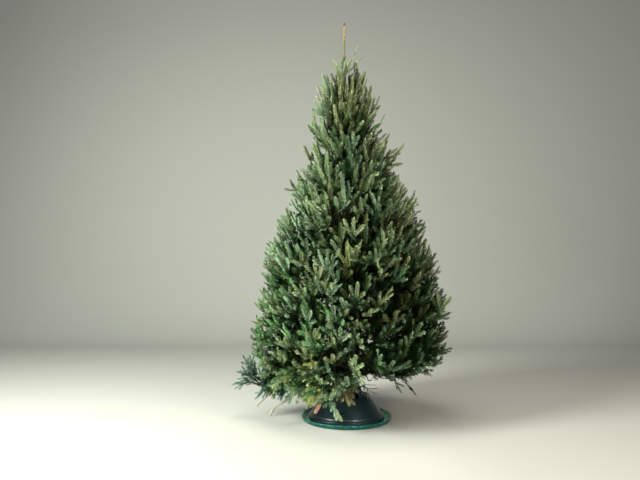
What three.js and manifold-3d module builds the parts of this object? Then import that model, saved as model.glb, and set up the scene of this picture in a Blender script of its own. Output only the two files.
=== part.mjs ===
// A cut fir, standing in a conical plastic stand on a round tray. Millimetres, +Z up.
// The origin is the middle of the tray's flat underside, on the floor. +X is to the right and -Y to the front.

import * as THREE from "three";
import { mergeVertices } from "three/addons/utils/BufferGeometryUtils.js";
import Module from "manifold-3d";

const wasm = await Module();
wasm.setup();

// Driving dimensions
const GAP = 0.3;
const TREE_TOP = 3660;
const CROWN_TOP = 3330;
const TRUNK_FOOT = 33;
const FULL_TURN = 360;

// The crown's outline from hem to top: height above the floor and radius.
const CROWN_OUTLINE = [
  [270, 560],
  [420, 790],
  [700, 890],
  [1000, 880],
  [1400, 785],
  [1900, 600],
  [2400, 440],
  [2900, 290],
  [3200, 150],
  [CROWN_TOP + 60, 30],
];

// The crown is fuller on the right: this share more at azimuth 0, and less at 180
const CROWN_LEAN = 0.05;

// The trunk's radius at heights from its cut foot to the tip of the leader.
const TRUNK_OUTLINE = [
  [TRUNK_FOOT, 80],
  [110, 71],
  [300, 66],
  [1000, 53],
  [2000, 33],
  [2900, 15],
  [3290, 9],
  [3560, 6.5],
  [TREE_TOP - 26, 6],
  [TREE_TOP - 12, 8.5],
  [TREE_TOP, 3],
];
const TRUNK_SIDES = 12;
const TRUNK_STEP = 320;
const TRUNK_SWAY = 7;
const TRUNK_SWAY_LENGTH = 620;

// Tiers of boughs from the hem up: the height on the trunk's axis of the tier's lower side, the angle
// at which that side rises outwards, the number of masses round the trunk, and the first one's azimuth.
const TIERS = [
  { floor: 330, rise: 0, count: 5, azimuth: 172, limb: 19 },
  { floor: 640, rise: 8, count: 5, azimuth: 136, limb: 18 },
  { floor: 980, rise: 16, count: 4, azimuth: 205, limb: 16 },
  { floor: 1330, rise: 24, count: 4, azimuth: 160, limb: 14 },
  { floor: 1720, rise: 32, count: 3, azimuth: 190, limb: 12 },
  { floor: 2130, rise: 42, count: 3, azimuth: 130, limb: 10 },
];
const TIP_TIER = { floor: 2560, rise: 52 };

// The bare zone round the trunk, which the boughs cross, as a share of the crown's radius.
const BARE_SHARE = 0.2;
const BARE_LEAST = 62;
const BOUGH_INTO_MASS = 70;
const BOUGH_TAPER = 0.72;
const BOUGH_SIDES = 6;
const BOUGH_STEPS = 2;
const MASS_SPACING = 5;

// Masses are balls of this subdivision, pushed out to the walls of their cells.
const BALL_DETAIL = 2;
const WALL_ROUNDING = 14;
const UNEVEN = 0.1;
const FAR = 2200;

// The low bough that leaves the crown on the left and lifts its tip.
const LOW_AZIMUTH = 172;
const LOW_ROOT_HEIGHT = 338;
const LOW_SPREAD = 13;
const LOW_START = 570;
const LOW_REACH = 1030;
const LOW_HEIGHT = 258;
const LOW_FLOOR = 190;
const LOW_CEILING = 575;
const LOW_LIMB = 14;
const LOW_SLOPE = { start: 600, height: 285, rise: 45 };

// The stand: a skirt with a well in its middle, four posts and four bolts, on a tray
const TURN_STEPS = 28;
const TRAY_THICK = 4;
const TRAY_FLOOR_RADIUS = 352;
const TRAY_LIP_RADIUS = 402;
const TRAY_HEIGHT = 34;
const SKIRT_RADIUS = 336;
const SKIRT_BAND_TOP = 46;
const SKIRT_STEP = 12;
const SKIRT_WALL = 5;
const RIM_RADIUS = 200;
const RIM_HEIGHT = 212;
const WELL_RADIUS = 128;
const WELL_FLOOR_RADIUS = 104;
const POST_AZIMUTHS = [45, 135, 225, 315];
const POST_TOP = 302;
const POST_WIDTH = 52;
const POST_THICK = 15;
const POST_FOOT = { radius: 196, height: 196 };
const POST_HEAD = { radius: 152, height: POST_TOP };
const BOLT_HEIGHT = 250;
const BOLT_RADIUS = 6.5;
const BOLT_END = 246;
const BOLT_SIDES = 8;
const BOLT_HEAD_RADIUS = 11;
const BOLT_HEAD_LENGTH = 9;
const HANDLE_RADIUS = 5;
const HANDLE_LENGTH = 82;

// Materials
const bark = new THREE.MeshStandardMaterial({ color: 0x6f6353, roughness: 0.9, metalness: 0 });
const needles = new THREE.MeshStandardMaterial({ color: 0x4d6b4a, roughness: 0.7, metalness: 0 });
const standPlastic = new THREE.MeshStandardMaterial({ color: 0x14262c, roughness: 0.35, metalness: 0 });
const trayPlastic = new THREE.MeshStandardMaterial({ color: 0x0b6a50, roughness: 0.3, metalness: 0 });
const steel = new THREE.MeshStandardMaterial({ color: 0xb9bcbe, roughness: 0.25, metalness: 1 });

// Small helpers
const radians = THREE.MathUtils.degToRad;

function along(outline, height) {
  const above = outline.findIndex(([z]) => z > height);
  if (above === 0) return outline[0][1];
  if (above < 0) return outline[outline.length - 1][1];
  const [z0, r0] = outline[above - 1];
  const [z1, r1] = outline[above];
  return THREE.MathUtils.mapLinear(height, z0, z1, r0, r1);
}

function solidOf(geometry) {
  const bare = geometry.index ? geometry.toNonIndexed() : geometry.clone();
  bare.deleteAttribute("normal");
  bare.deleteAttribute("uv");
  const merged = mergeVertices(bare, 1e-3);
  const mesh = new wasm.Mesh({
    numProp: 3,
    vertProperties: merged.attributes.position.array,
    triVerts: new Uint32Array(merged.index.array),
  });
  return new wasm.Manifold(mesh);
}

function geometryOf(solid) {
  const mesh = solid.getMesh();
  const geometry = new THREE.BufferGeometry();
  geometry.setAttribute("position", new THREE.BufferAttribute(new Float32Array(mesh.vertProperties), 3));
  geometry.setIndex(new THREE.BufferAttribute(new Uint32Array(mesh.triVerts), 1));
  geometry.computeVertexNormals();
  return geometry;
}

const tree = new THREE.Group();

function addNode(name, solid, material) {
  const mesh = new THREE.Mesh(geometryOf(solid), material);
  mesh.name = name;
  tree.add(mesh);
}

// A closed limb through stations of {point, radius}. Its rings start at the given side direction, and lie
// square to the limb's own line, or to one fixed normal.
function limb(stations, sides, side, normal) {
  const positions = [];
  const faces = [];
  const last = stations.length - 1;
  stations.forEach(({ point, radius }, i) => {
    const before = stations[Math.max(i - 1, 0)].point;
    const after = stations[Math.min(i + 1, last)].point;
    const tangent = normal ?? after.clone().sub(before).normalize();
    const across = new THREE.Vector3().crossVectors(tangent, side).normalize();
    const first = new THREE.Vector3().crossVectors(across, tangent);
    for (let k = 0; k < sides; k++) {
      const turn = (2 * Math.PI * k) / sides;
      const spoke = first.clone().multiplyScalar(Math.cos(turn)).addScaledVector(across, Math.sin(turn));
      positions.push(...point.clone().addScaledVector(spoke, radius).toArray());
    }
  });
  for (let i = 0; i < last; i++) {
    for (let k = 0; k < sides; k++) {
      const a = i * sides + k;
      const b = i * sides + ((k + 1) % sides);
      faces.push(a, b, b + sides, a, b + sides, a + sides);
    }
  }
  const footCentre = positions.length / 3;
  positions.push(...stations[0].point.toArray(), ...stations[last].point.toArray());
  for (let k = 0; k < sides; k++) {
    const next = (k + 1) % sides;
    faces.push(footCentre, next, k);
    faces.push(footCentre + 1, last * sides + k, last * sides + next);
  }
  const geometry = new THREE.BufferGeometry();
  geometry.setAttribute("position", new THREE.BufferAttribute(new Float32Array(positions), 3));
  geometry.setIndex(faces);
  return solidOf(geometry);
}

// The trunk, or with extra a thicker copy of it, which clears a seat for it in its neighbours
function trunkPoint(height) {
  const sway = TRUNK_SWAY * Math.sin((height - TRUNK_FOOT) / TRUNK_SWAY_LENGTH);
  return new THREE.Vector3(sway, 0.6 * sway, height);
}

function trunk(extra) {
  const heights = TRUNK_OUTLINE.map(([height]) => height);
  for (let z = TRUNK_FOOT + TRUNK_STEP; z < CROWN_TOP; z += TRUNK_STEP) heights.push(z);
  heights.sort((a, b) => a - b);
  const stations = heights.map((z) => ({ point: trunkPoint(z), radius: along(TRUNK_OUTLINE, z) + extra }));
  stations[0].point.z -= extra;
  stations[stations.length - 1].point.z += extra;
  return limb(stations, TRUNK_SIDES, new THREE.Vector3(1, 0, 0), new THREE.Vector3(0, 0, 1));
}

const trunkSeat = trunk(GAP);

// A bough from the trunk's axis along a gently lifting or drooping line. With extra it is the seat for it.
function bough({ azimuth, root, end, sag, thickness }, extra) {
  const outward = new THREE.Vector3(Math.cos(radians(azimuth)), Math.sin(radians(azimuth)), 0);
  const stations = [];
  for (let i = 0; i <= BOUGH_STEPS; i++) {
    const t = i / BOUGH_STEPS;
    const reach = end.reach * t + (i === BOUGH_STEPS ? extra : 0);
    const height = THREE.MathUtils.lerp(root, end.height, t) - 4 * sag * t * (1 - t);
    const point = outward.clone().multiplyScalar(reach).setZ(height);
    stations.push({ point, radius: thickness * THREE.MathUtils.lerp(1, BOUGH_TAPER, t) + extra });
  }
  return limb(stations, BOUGH_SIDES, new THREE.Vector3(-outward.y, outward.x, 0));
}

// Cells. A wall is a test that is true on the mass's own side.
function crownWall(p) {
  const turn = Math.atan2(p.y, p.x);
  const lobes = 0.035 * Math.sin(5 * turn + p.z / 190) + 0.025 * Math.sin(3 * turn - p.z / 330);
  const reach = along(CROWN_OUTLINE, p.z) * (1 + lobes + CROWN_LEAN * Math.cos(turn));
  return Math.hypot(p.x, p.y) < reach && p.z < CROWN_TOP;
}

function aboveCone({ floor, rise }) {
  const slope = Math.tan(radians(rise));
  return (p) => p.z > floor + MASS_SPACING / 2 + Math.hypot(p.x, p.y) * slope;
}

function belowSlope({ floor, rise }, azimuth) {
  const slope = Math.tan(radians(rise));
  const x = Math.cos(radians(azimuth));
  const y = Math.sin(radians(azimuth));
  return (p) => p.z < floor - MASS_SPACING / 2 + (p.x * x + p.y * y) * slope;
}

function withinSector(azimuth, halfSpread) {
  return [-1, 1].map((hand) => {
    const edge = radians(azimuth + hand * halfSpread);
    const normal = [-hand * Math.sin(edge), hand * Math.cos(edge)];
    return (p) => p.x * normal[0] + p.y * normal[1] < -MASS_SPACING / 2;
  });
}

function beyond(azimuth, reach) {
  const x = Math.cos(radians(azimuth));
  const y = Math.sin(radians(azimuth));
  return (p) => p.x * x + p.y * y > reach;
}

function exitDistance(wall, centre, direction) {
  const at = (t) => centre.clone().addScaledVector(direction, t);
  if (wall(at(FAR))) return FAR;
  let inside = 0;
  let outside = FAR;
  while (outside - inside > 0.05) {
    const middle = (inside + outside) / 2;
    if (wall(at(middle))) inside = middle;
    else outside = middle;
  }
  return inside;
}

// A mass of foliage: an uneven ball round its centre that fills its cell and stays inside every wall.
function mass(centre, walls, seed) {
  const ball = new THREE.IcosahedronGeometry(1, BALL_DETAIL);
  const position = ball.attributes.position;
  const direction = new THREE.Vector3();
  for (let i = 0; i < position.count; i++) {
    direction.fromBufferAttribute(position, i).normalize();
    const nearness = walls.reduce((sum, w) => sum + exitDistance(w, centre, direction) ** -WALL_ROUNDING, 0);
    const wave =
      Math.sin(6.1 * direction.x + seed) * Math.sin(5.3 * direction.y + 2 * seed) +
      Math.sin(7.7 * direction.z + 3 * seed);
    const reach = nearness ** (-1 / WALL_ROUNDING) * (1 - (UNEVEN * (2 + wave)) / 4);
    direction.multiplyScalar(reach).add(centre);
    position.setXYZ(i, direction.x, direction.y, direction.z);
  }
  return solidOf(ball);
}

function polar(azimuth, reach, height) {
  return new THREE.Vector3(reach * Math.cos(radians(azimuth)), reach * Math.sin(radians(azimuth)), height);
}

function addBoughAndMass(label, line, foliage) {
  addNode(`bough_${label}`, bough(line, 0).subtract(trunkSeat), bark);
  addNode(`foliage_${label}`, foliage.subtract(bough(line, GAP)), needles);
}

// The trunk, whole from its cut foot to the leader's tip
addNode("trunk", trunk(0), bark);

// The tiers of boughs, each with a mass of foliage of its own
const lowBoughWall = (p) => {
  const out = -p.x * Math.cos(radians(180 - LOW_AZIMUTH)) + p.y * Math.sin(radians(180 - LOW_AZIMUTH));
  const limit = LOW_SLOPE.height + (out - LOW_SLOPE.start) * Math.tan(radians(LOW_SLOPE.rise));
  return p.z - limit;
};

TIERS.forEach((tier, i) => {
  const next = TIERS[i + 1] ?? TIP_TIER;
  const spread = FULL_TURN / tier.count;
  for (let k = 0; k < tier.count; k++) {
    const azimuth = tier.azimuth + k * spread;
    const meanSlope = Math.tan(radians((tier.rise + next.rise) / 2));
    const middleHeight = (tier.floor + next.floor) / 2;
    const crownRadius = along(CROWN_OUTLINE, middleHeight + 300 * meanSlope);
    const bareReach = BARE_LEAST + BARE_SHARE * crownRadius;
    const centreReach = (bareReach + crownRadius) / 2;
    const centre = polar(azimuth, centreReach, middleHeight + centreReach * meanSlope);
    const walls = [
      crownWall,
      aboveCone(tier),
      belowSlope(next, azimuth),
      ...withinSector(azimuth, spread / 2),
      beyond(azimuth, bareReach),
    ];
    if (i === 0 && k === 0) walls.push((p) => lowBoughWall(p) > MASS_SPACING);
    const endReach = bareReach + BOUGH_INTO_MASS;
    const line = {
      azimuth,
      root: middleHeight - 12,
      end: { reach: endReach, height: middleHeight + endReach * meanSlope },
      sag: 0.012 * endReach,
      thickness: tier.limb,
    };
    addBoughAndMass(`${i + 1}_${k + 1}`, line, mass(centre, walls, 1 + 3 * i + 1.7 * k));
  }
});

// The foliage round the top of the trunk
const tipCentre = new THREE.Vector3(0, 0, (TIP_TIER.floor + CROWN_TOP) / 2 + 20);
addNode("foliage_tip", mass(tipCentre, [crownWall, aboveCone(TIP_TIER)], 5).subtract(trunkSeat), needles);

// The low bough
const lowLine = {
  azimuth: LOW_AZIMUTH,
  root: LOW_ROOT_HEIGHT,
  end: { reach: LOW_START + BOUGH_INTO_MASS + 40, height: LOW_HEIGHT },
  sag: 10,
  thickness: LOW_LIMB,
};
const lowWalls = [
  ...withinSector(LOW_AZIMUTH, LOW_SPREAD),
  beyond(LOW_AZIMUTH, LOW_START),
  (p) => lowBoughWall(p) < -MASS_SPACING,
  (p) => p.z > LOW_FLOOR && p.z < LOW_CEILING,
  (p) => Math.hypot(p.x, p.y) < LOW_REACH,
];
addBoughAndMass("low", lowLine, mass(polar(LOW_AZIMUTH, (LOW_START + LOW_REACH) / 2 + 30, 290), lowWalls, 2));

// A solid of revolution about Z, from its closed outline of [radius, height] points
function turned(outline) {
  const points = [...outline, outline[0]].map(([r, z]) => new THREE.Vector2(r, z));
  const geometry = new THREE.LatheGeometry(points, TURN_STEPS).rotateX(Math.PI / 2);
  const solid = solidOf(geometry);
  return solid.volume() > 0 ? solid : solidOf(new THREE.LatheGeometry(points.reverse(), TURN_STEPS).rotateX(Math.PI / 2));
}

// The tray: a thin saucer with a sloping wall and a rolled lip
function tray() {
  const slope = TRAY_LIP_RADIUS - TRAY_FLOOR_RADIUS;
  return turned([
    [0, 0],
    [TRAY_FLOOR_RADIUS, 0],
    [TRAY_FLOOR_RADIUS + 0.55 * slope, 9],
    [TRAY_LIP_RADIUS - 8, TRAY_HEIGHT - 8],
    [TRAY_LIP_RADIUS, TRAY_HEIGHT - 5],
    [TRAY_LIP_RADIUS - 1, TRAY_HEIGHT],
    [TRAY_LIP_RADIUS - 10, TRAY_HEIGHT - 2],
    [TRAY_FLOOR_RADIUS + 0.5 * slope, 9 + TRAY_THICK],
    [TRAY_FLOOR_RADIUS - 1, TRAY_THICK],
    [0, TRAY_THICK],
  ]);
}

// The skirt and the well that holds the trunk and its water, one moulding with four posts
function skirt() {
  const foot = TRAY_THICK + GAP;
  const wellFloor = TRUNK_FOOT - GAP;
  return turned([
    [SKIRT_RADIUS - SKIRT_WALL, foot],
    [SKIRT_RADIUS, foot],
    [SKIRT_RADIUS, SKIRT_BAND_TOP - 4],
    [SKIRT_RADIUS - 4, SKIRT_BAND_TOP],
    [SKIRT_RADIUS - SKIRT_STEP, SKIRT_BAND_TOP + 2],
    [RIM_RADIUS, RIM_HEIGHT],
    [RIM_RADIUS - 8, RIM_HEIGHT + 4],
    [RIM_RADIUS - 16, RIM_HEIGHT],
    [WELL_RADIUS, RIM_HEIGHT - 28],
    [WELL_FLOOR_RADIUS, wellFloor],
    [0, wellFloor],
    [0, wellFloor - SKIRT_WALL],
    [WELL_FLOOR_RADIUS + SKIRT_WALL, wellFloor - SKIRT_WALL],
    [WELL_RADIUS + SKIRT_WALL, RIM_HEIGHT - 33],
    [RIM_RADIUS - 14, RIM_HEIGHT - 9],
    [SKIRT_RADIUS - SKIRT_STEP - SKIRT_WALL - 1, SKIRT_BAND_TOP - 3],
    [SKIRT_RADIUS - SKIRT_WALL, SKIRT_BAND_TOP - 8],
  ]);
}

// One leaning plate with a rounded head, on the side of azimuth 0
function post() {
  const lean = Math.atan2(POST_FOOT.radius - POST_HEAD.radius, POST_HEAD.height - POST_FOOT.height);
  const length = Math.hypot(POST_FOOT.radius - POST_HEAD.radius, POST_HEAD.height - POST_FOOT.height);
  const half = POST_WIDTH / 2;
  const face = new THREE.Shape();
  face.moveTo(-half - 7, 0);
  face.lineTo(-half * 0.72, length * 0.72);
  face.absarc(0, length - half * 0.72, half * 0.72, Math.PI, 0, true);
  face.lineTo(half + 7, 0);
  face.closePath();
  const plate = new THREE.ExtrudeGeometry(face, { depth: POST_THICK, bevelEnabled: false, curveSegments: 4 });
  plate.translate(0, 0, -POST_THICK);
  plate.applyMatrix4(new THREE.Matrix4().makeBasis(
    new THREE.Vector3(0, 1, 0),
    new THREE.Vector3(-Math.sin(lean), 0, Math.cos(lean)),
    new THREE.Vector3(Math.cos(lean), 0, Math.sin(lean)),
  ));
  plate.translate(POST_FOOT.radius, 0, POST_FOOT.height);
  return solidOf(plate);
}

// A round bar between two reaches on the side of azimuth 0
function bar(from, to, radius) {
  const geometry = new THREE.CylinderGeometry(radius, radius, to - from, BOLT_SIDES);
  geometry.rotateZ(Math.PI / 2).translate((from + to) / 2, 0, BOLT_HEIGHT);
  return solidOf(geometry);
}

// A clamping bolt with a cross handle. Its inner end meets the trunk.
function bolt() {
  const handle = new THREE.CylinderGeometry(HANDLE_RADIUS, HANDLE_RADIUS, HANDLE_LENGTH, BOLT_SIDES);
  handle.translate(BOLT_END, 0, BOLT_HEIGHT);
  const head = bar(BOLT_END - BOLT_HEAD_LENGTH, BOLT_END + BOLT_HEAD_LENGTH, BOLT_HEAD_RADIUS);
  return bar(20, BOLT_END, BOLT_RADIUS).add(head).add(solidOf(handle));
}

addNode("stand_tray", tray(), trayPlastic);
const posts = POST_AZIMUTHS.map((azimuth) => post().rotate([0, 0, azimuth]));
const boltHoles = POST_AZIMUTHS.map((azimuth) => bar(20, BOLT_END, BOLT_RADIUS + GAP).rotate([0, 0, azimuth]));
const moulding = posts.reduce((whole, one) => whole.add(one), skirt());
addNode("stand_skirt", boltHoles.reduce((whole, hole) => whole.subtract(hole), moulding), standPlastic);
POST_AZIMUTHS.forEach((azimuth, i) => {
  addNode(`stand_bolt_${i + 1}`, bolt().rotate([0, 0, azimuth]).subtract(trunkSeat), steel);
});

export default tree;
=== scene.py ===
# A cut fir in a conical stand on a round tray. Every shoot grows on from the limbs of the CAD frame.
# Metres, +Z up, in the frame's own place. Angles are in radians, or in degrees where a name says so.

import math

import bmesh
import bpy
import numpy as np
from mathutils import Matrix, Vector


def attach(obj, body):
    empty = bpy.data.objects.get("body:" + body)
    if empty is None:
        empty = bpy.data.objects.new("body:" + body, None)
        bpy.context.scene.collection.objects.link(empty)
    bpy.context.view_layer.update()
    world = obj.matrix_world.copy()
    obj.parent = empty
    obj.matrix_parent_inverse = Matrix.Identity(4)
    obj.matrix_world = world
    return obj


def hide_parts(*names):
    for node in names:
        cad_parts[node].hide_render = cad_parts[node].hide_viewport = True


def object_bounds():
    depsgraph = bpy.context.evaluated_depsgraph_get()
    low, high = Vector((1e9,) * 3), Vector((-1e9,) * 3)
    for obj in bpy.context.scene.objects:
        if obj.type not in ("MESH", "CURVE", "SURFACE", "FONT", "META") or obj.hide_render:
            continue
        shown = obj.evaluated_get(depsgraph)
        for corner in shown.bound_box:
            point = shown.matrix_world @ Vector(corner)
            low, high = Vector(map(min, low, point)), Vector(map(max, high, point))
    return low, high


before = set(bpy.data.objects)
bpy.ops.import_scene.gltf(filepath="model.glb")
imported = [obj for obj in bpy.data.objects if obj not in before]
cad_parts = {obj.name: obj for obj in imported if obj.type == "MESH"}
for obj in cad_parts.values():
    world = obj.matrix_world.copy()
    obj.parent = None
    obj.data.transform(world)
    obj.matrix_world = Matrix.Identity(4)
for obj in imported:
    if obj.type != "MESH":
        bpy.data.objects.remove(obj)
cad_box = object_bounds()
cad_low, cad_high = np.array(cad_box[0]), np.array(cad_box[1])
# How far out of the CAD frame's box the needles may stand
ROOM = 0.03 * (cad_high - cad_low) + 0.008
rng = np.random.default_rng(2031)

# The camera of the photograph: 520 pixels of focal length in a frame 640 pixels wide
FRAME_WIDTH_PX = 640
FOCAL_PX = 520
SENSOR_MM = 36
CAMERA_PLACE = (-0.235, -4.755, 1.19)
CAMERA_TILT_DEG = 4.9

# Needles
NEEDLE_LENGTH = 0.025
NEEDLE_WIDTH = 0.0062
NEEDLES_PER_METRE = 600

# In the tables of pairs the first number is a height above the floor, or what the comment says.
# The length of a year's growth on an outer branch
SHOOT_LENGTH = [(0.3, 0.1), (0.9, 0.13), (1.4, 0.185), (2.0, 0.24), (2.6, 0.28), (3.1, 0.28)]
# The length of the side shoots against that, and how far they lean out
SIDE_SHARE = 0.8
SIDE_ANGLE_DEG = [(0.3, 44), (0.9, 38), (1.5, 30), (2.1, 25), (2.8, 20)]
# How much less the branches' headings differ
SPREAD_BY_HEIGHT = [(1.4, 1.0), (2.2, 0.65)]
# The angle at which the crown's outer shoots rise
TIP_RISE_DEG = [(0.24, -34), (0.32, -14), (0.42, 8), (0.55, 28), (0.75, 42), (1.0, 50), (1.5, 57), (2.1, 62),
                (2.7, 64), (3.0, 66), (3.3, 71)]
# How far most tips stay inside the crown's outline, which the stray ones reach
TIP_INSET_LEFT = [(0.5, 0.0), (0.7, 0.06), (1.05, 0.05), (1.3, 0.0), (1.6, 0.0), (2.2, 0.09), (2.6, 0.13),
                  (2.9, 0.12), (3.1, 0.03), (3.3, 0.0)]
TIP_INSET_RIGHT = [(0.6, 0.0), (0.75, 0.04), (1.0, 0.03), (1.5, 0.045), (2.2, 0.04), (2.6, 0.06), (2.9, 0.04),
                   (3.1, 0.0)]
STRAY_SHARE = 0.14
# The size of the needles
SIZE_BY_HEIGHT = [(1.5, 1.0), (2.2, 1.1)]
# The spacing of branch tips over the crown's outside, below it, deep inside it and under its hem
TIP_SPACING = 0.101
# How much further apart the tips are
SPACING_BY_HEIGHT = [(1.8, 1.0), (2.3, 1.15), (2.9, 1.42)]
MIDDLE_SPACING = 0.127
INNER_SPACING = 0.15
HEM_SPACING = 0.15
HEM_DEPTH = 0.14
CANDIDATES = 7000

UP = np.array([0.0, 0.0, 1.0])
# Takes the height off a place or a heading
LEVEL = np.array([1, 1, 0])


# Small helpers

def unit(v):
    return v / np.maximum(np.linalg.norm(v, axis=-1, keepdims=True), 1e-12)


def radial(azimuth, rise_deg=0.0):
    rise = math.radians(rise_deg)
    return np.array([math.cos(azimuth) * math.cos(rise), math.sin(azimuth) * math.cos(rise), math.sin(rise)])


def between(low, high):
    return rng.uniform(low, high)


def leaned(direction, spread):
    """The direction, leaned a little to any side."""
    return unit(direction + rng.normal(0, spread, 3))


def across(heading, up):
    return unit(np.cross(heading, up))


def outward(place):
    return unit(place * LEVEL)


def read_off(table, where):
    """What a table of pairs gives at a place, or at several, in between its rows."""
    return np.interp(where, *zip(*table))


def bezier(p0, p1, p2, t):
    t = np.asarray(t)[..., None]
    return (1 - t) ** 2 * p0 + 2 * t * (1 - t) * p1 + t**2 * p2


def bezier_heading(p0, p1, p2, t):
    t = np.asarray(t)[..., None]
    return unit((1 - t) * (p1 - p0) + t * (p2 - p1))


# How often a path's corners are cut off, and at what share of each side
CORNER_ROUNDS, CORNER_CUT = 3, 0.25


def smooth_path(bends):
    """A path with its corners cut off a few times over, and its ends kept."""
    path = np.array(bends, float)
    for _ in range(CORNER_ROUNDS):
        cuts = [(1 - cut) * path[:-1] + cut * path[1:] for cut in (CORNER_CUT, 1 - CORNER_CUT)]
        path = np.concatenate([path[:1], np.stack(cuts, axis=1).reshape(-1, 3), path[-1:]])
    return path


WRINKLE_ROWS = 511


def wrinkles(turn, height, columns, rows_per_metre, seed):
    """Smooth noise from -1 to 1 round a stem, closed at the full turn."""
    table = np.random.default_rng(seed).uniform(-1, 1, (WRINKLE_ROWS + 1, columns))
    u = (turn / (2 * math.pi) % 1) * columns
    v = height * rows_per_metre % WRINKLE_ROWS
    i, j = u.astype(int) % columns, v.astype(int)
    fu, fv = u - np.floor(u), v - j
    fu, fv = fu * fu * (3 - 2 * fu), fv * fv * (3 - 2 * fv)
    lower, upper = (table[k, i] * (1 - fu) + table[k, (i + 1) % columns] * fu for k in (j, j + 1))
    return lower * (1 - fv) + upper * fv


def add_object(name, data):
    obj = bpy.data.objects.new(name, data)
    bpy.context.scene.collection.objects.link(obj)
    return obj


def mesh_points(obj):
    points = np.empty(len(obj.data.vertices) * 3)
    obj.data.vertices.foreach_get("co", points)
    return points.reshape(-1, 3)


def mesh_object(name, points, face_groups, materials, smooth=False):
    """A mesh from arrays. A face group is an array of faces of one number of sides, and their materials."""
    mesh = bpy.data.meshes.new(name)
    corners = np.concatenate([faces.ravel() for faces, _ in face_groups]).astype(np.int32)
    sides = np.concatenate([np.full(len(faces), faces.shape[1]) for faces, _ in face_groups])
    kinds = np.concatenate([np.broadcast_to(kind, len(faces)) for faces, kind in face_groups])
    mesh.vertices.add(len(points))
    mesh.vertices.foreach_set("co", np.asarray(points, np.float32).ravel())
    mesh.loops.add(len(corners))
    mesh.loops.foreach_set("vertex_index", corners)
    mesh.polygons.add(len(sides))
    mesh.polygons.foreach_set("loop_start", (np.cumsum(sides) - sides).astype(np.int32))
    mesh.polygons.foreach_set("material_index", kinds.astype(np.int32))
    mesh.polygons.foreach_set("use_smooth", np.full(len(sides), smooth))
    for material in materials:
        mesh.materials.append(material)
    mesh.update(calc_edges=True)
    mesh.validate()
    return add_object(name, mesh)


def add_piece(name, points, face_groups, materials, replaced=(), smooth=False):
    piece = mesh_object(name, points, face_groups, materials, smooth)
    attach(piece, "root")
    if replaced:
        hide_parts(*replaced)
    return piece


def joined(parts):
    """Several parts as one: their points, and their arrays of faces, one for each number of sides."""
    groups = {}
    offset = 0
    for points, *arrays in parts:
        for faces in arrays:
            groups.setdefault(faces.shape[1], []).append(faces + offset)
        offset += len(points)
    return np.concatenate([part[0] for part in parts]), [np.concatenate(group) for group in groups.values()]


def grid_faces(rows, columns):
    """The quads of a grid of points, closed round its columns."""
    i = np.arange(rows - 1)[:, None] * columns
    k = np.arange(columns)[None]
    nxt = (k + 1) % columns
    return np.stack([i + k, i + nxt, i + columns + nxt, i + columns + k], axis=-1).reshape(-1, 4)


def ring_turns(sides):
    """The azimuths of so many points round a ring."""
    return np.arange(sides) * 2 * math.pi / sides


def turn_from(azimuth, turn):
    """The angle from an azimuth to others, from minus half a turn to half a turn."""
    return (turn - azimuth + math.pi) % (2 * math.pi) - math.pi


def end_caps(count, sides):
    """The first and last rings of a tube of so many points, as faces."""
    around = np.arange(sides)
    return np.array([around[::-1], count - sides + around])


# Materials

def srgb(hex_colour):
    channels = [int(hex_colour[i:i + 2], 16) / 255 for i in (0, 2, 4)]
    linear = [c / 12.92 if c <= 0.04045 else ((c + 0.055) / 1.055) ** 2.4 for c in channels]
    return (*linear, 1.0)


def plain_material(name, hex_colour, roughness, specular, metallic=0.0):
    material = bpy.data.materials.new(name)
    material.use_nodes = True
    values = {"Base Color": srgb(hex_colour), "Roughness": roughness, "Specular IOR Level": specular,
              "Metallic": metallic}
    for name, value in values.items():
        material.node_tree.nodes["Principled BSDF"].inputs[name].default_value = value
    return material


# Each family's needles, from the darkest, which paint the shade deep in the crown, to the bright outer ones,
# and the pale underside last
NEEDLE_TONES = {
    "cool": ["0d2a10", "20401e", "4c6a47", "7f9a78", "a5b79d"],
    "fresh": ["0f2b10", "1d411c", "426e3b", "719d66", "9fbb92"],
    "plain": ["172e12", "2d4420", "576f47", "899e73", "abb895"],
    "warm": ["243217", "3d4b25", "626f45", "919d71", "b0b792"],
    "yellow": ["1e2c0c", "3f4f1d", "6a793e", "98a464", "b8c092"],
    "silver": ["0b270f", "203e23", "4a6b4a", "8aa785", "b1c2ac"],
    "dry": ["16190b", "2f3019", "5b5a38", "8f8b62", "aaa585"],
    "teal": ["0b1f17", "19382b", "375b48", "5c8770", "8bae9b"],
}
TONES = 5
PALE_TONE = 4
# The darkest tone whose underside is pale
PALE_FROM = 2
FAMILIES = list(NEEDLE_TONES)
# The shaded needles are duller than the outer ones
NEEDLE_ROUGHNESS = [0.6, 0.52, 0.46, 0.42, 0.46]
NEEDLE_SPECULAR = [0.12, 0.25, 0.42, 0.48, 0.4]
needle_materials = [
    plain_material(f"needles_{family}_{tone}", colour, NEEDLE_ROUGHNESS[tone], NEEDLE_SPECULAR[tone])
    for family, colours in NEEDLE_TONES.items()
    for tone, colour in enumerate(colours)
]
# From the darkest twigs, whose colour paints the shade deep in the crown, to the green ones of the outside,
# and the bare stems last
TWIG_COLOURS = ["161810", "2f2c1b", "6a6a42", "a09c90"]
PAINTED_SHADE_TWIG, BRANCH_TWIG, GREEN_TWIG, BARE_TWIG = range(4)
twig_materials = [
    plain_material(f"twig_{i}", colour, roughness=0.8, specular=0.2) for i, colour in enumerate(TWIG_COLOURS)
]


def add_node(tree, kind, **inputs):
    """A node of a material. Each input, by its name, is a value or another node's output."""
    node = tree.nodes.new(f"ShaderNode{kind}")
    for name, value in inputs.items():
        socket = node.inputs[name.replace("_", " ")]
        if isinstance(value, bpy.types.NodeSocket):
            tree.links.new(value, socket)
        else:
            socket.default_value = value
    return node


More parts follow.
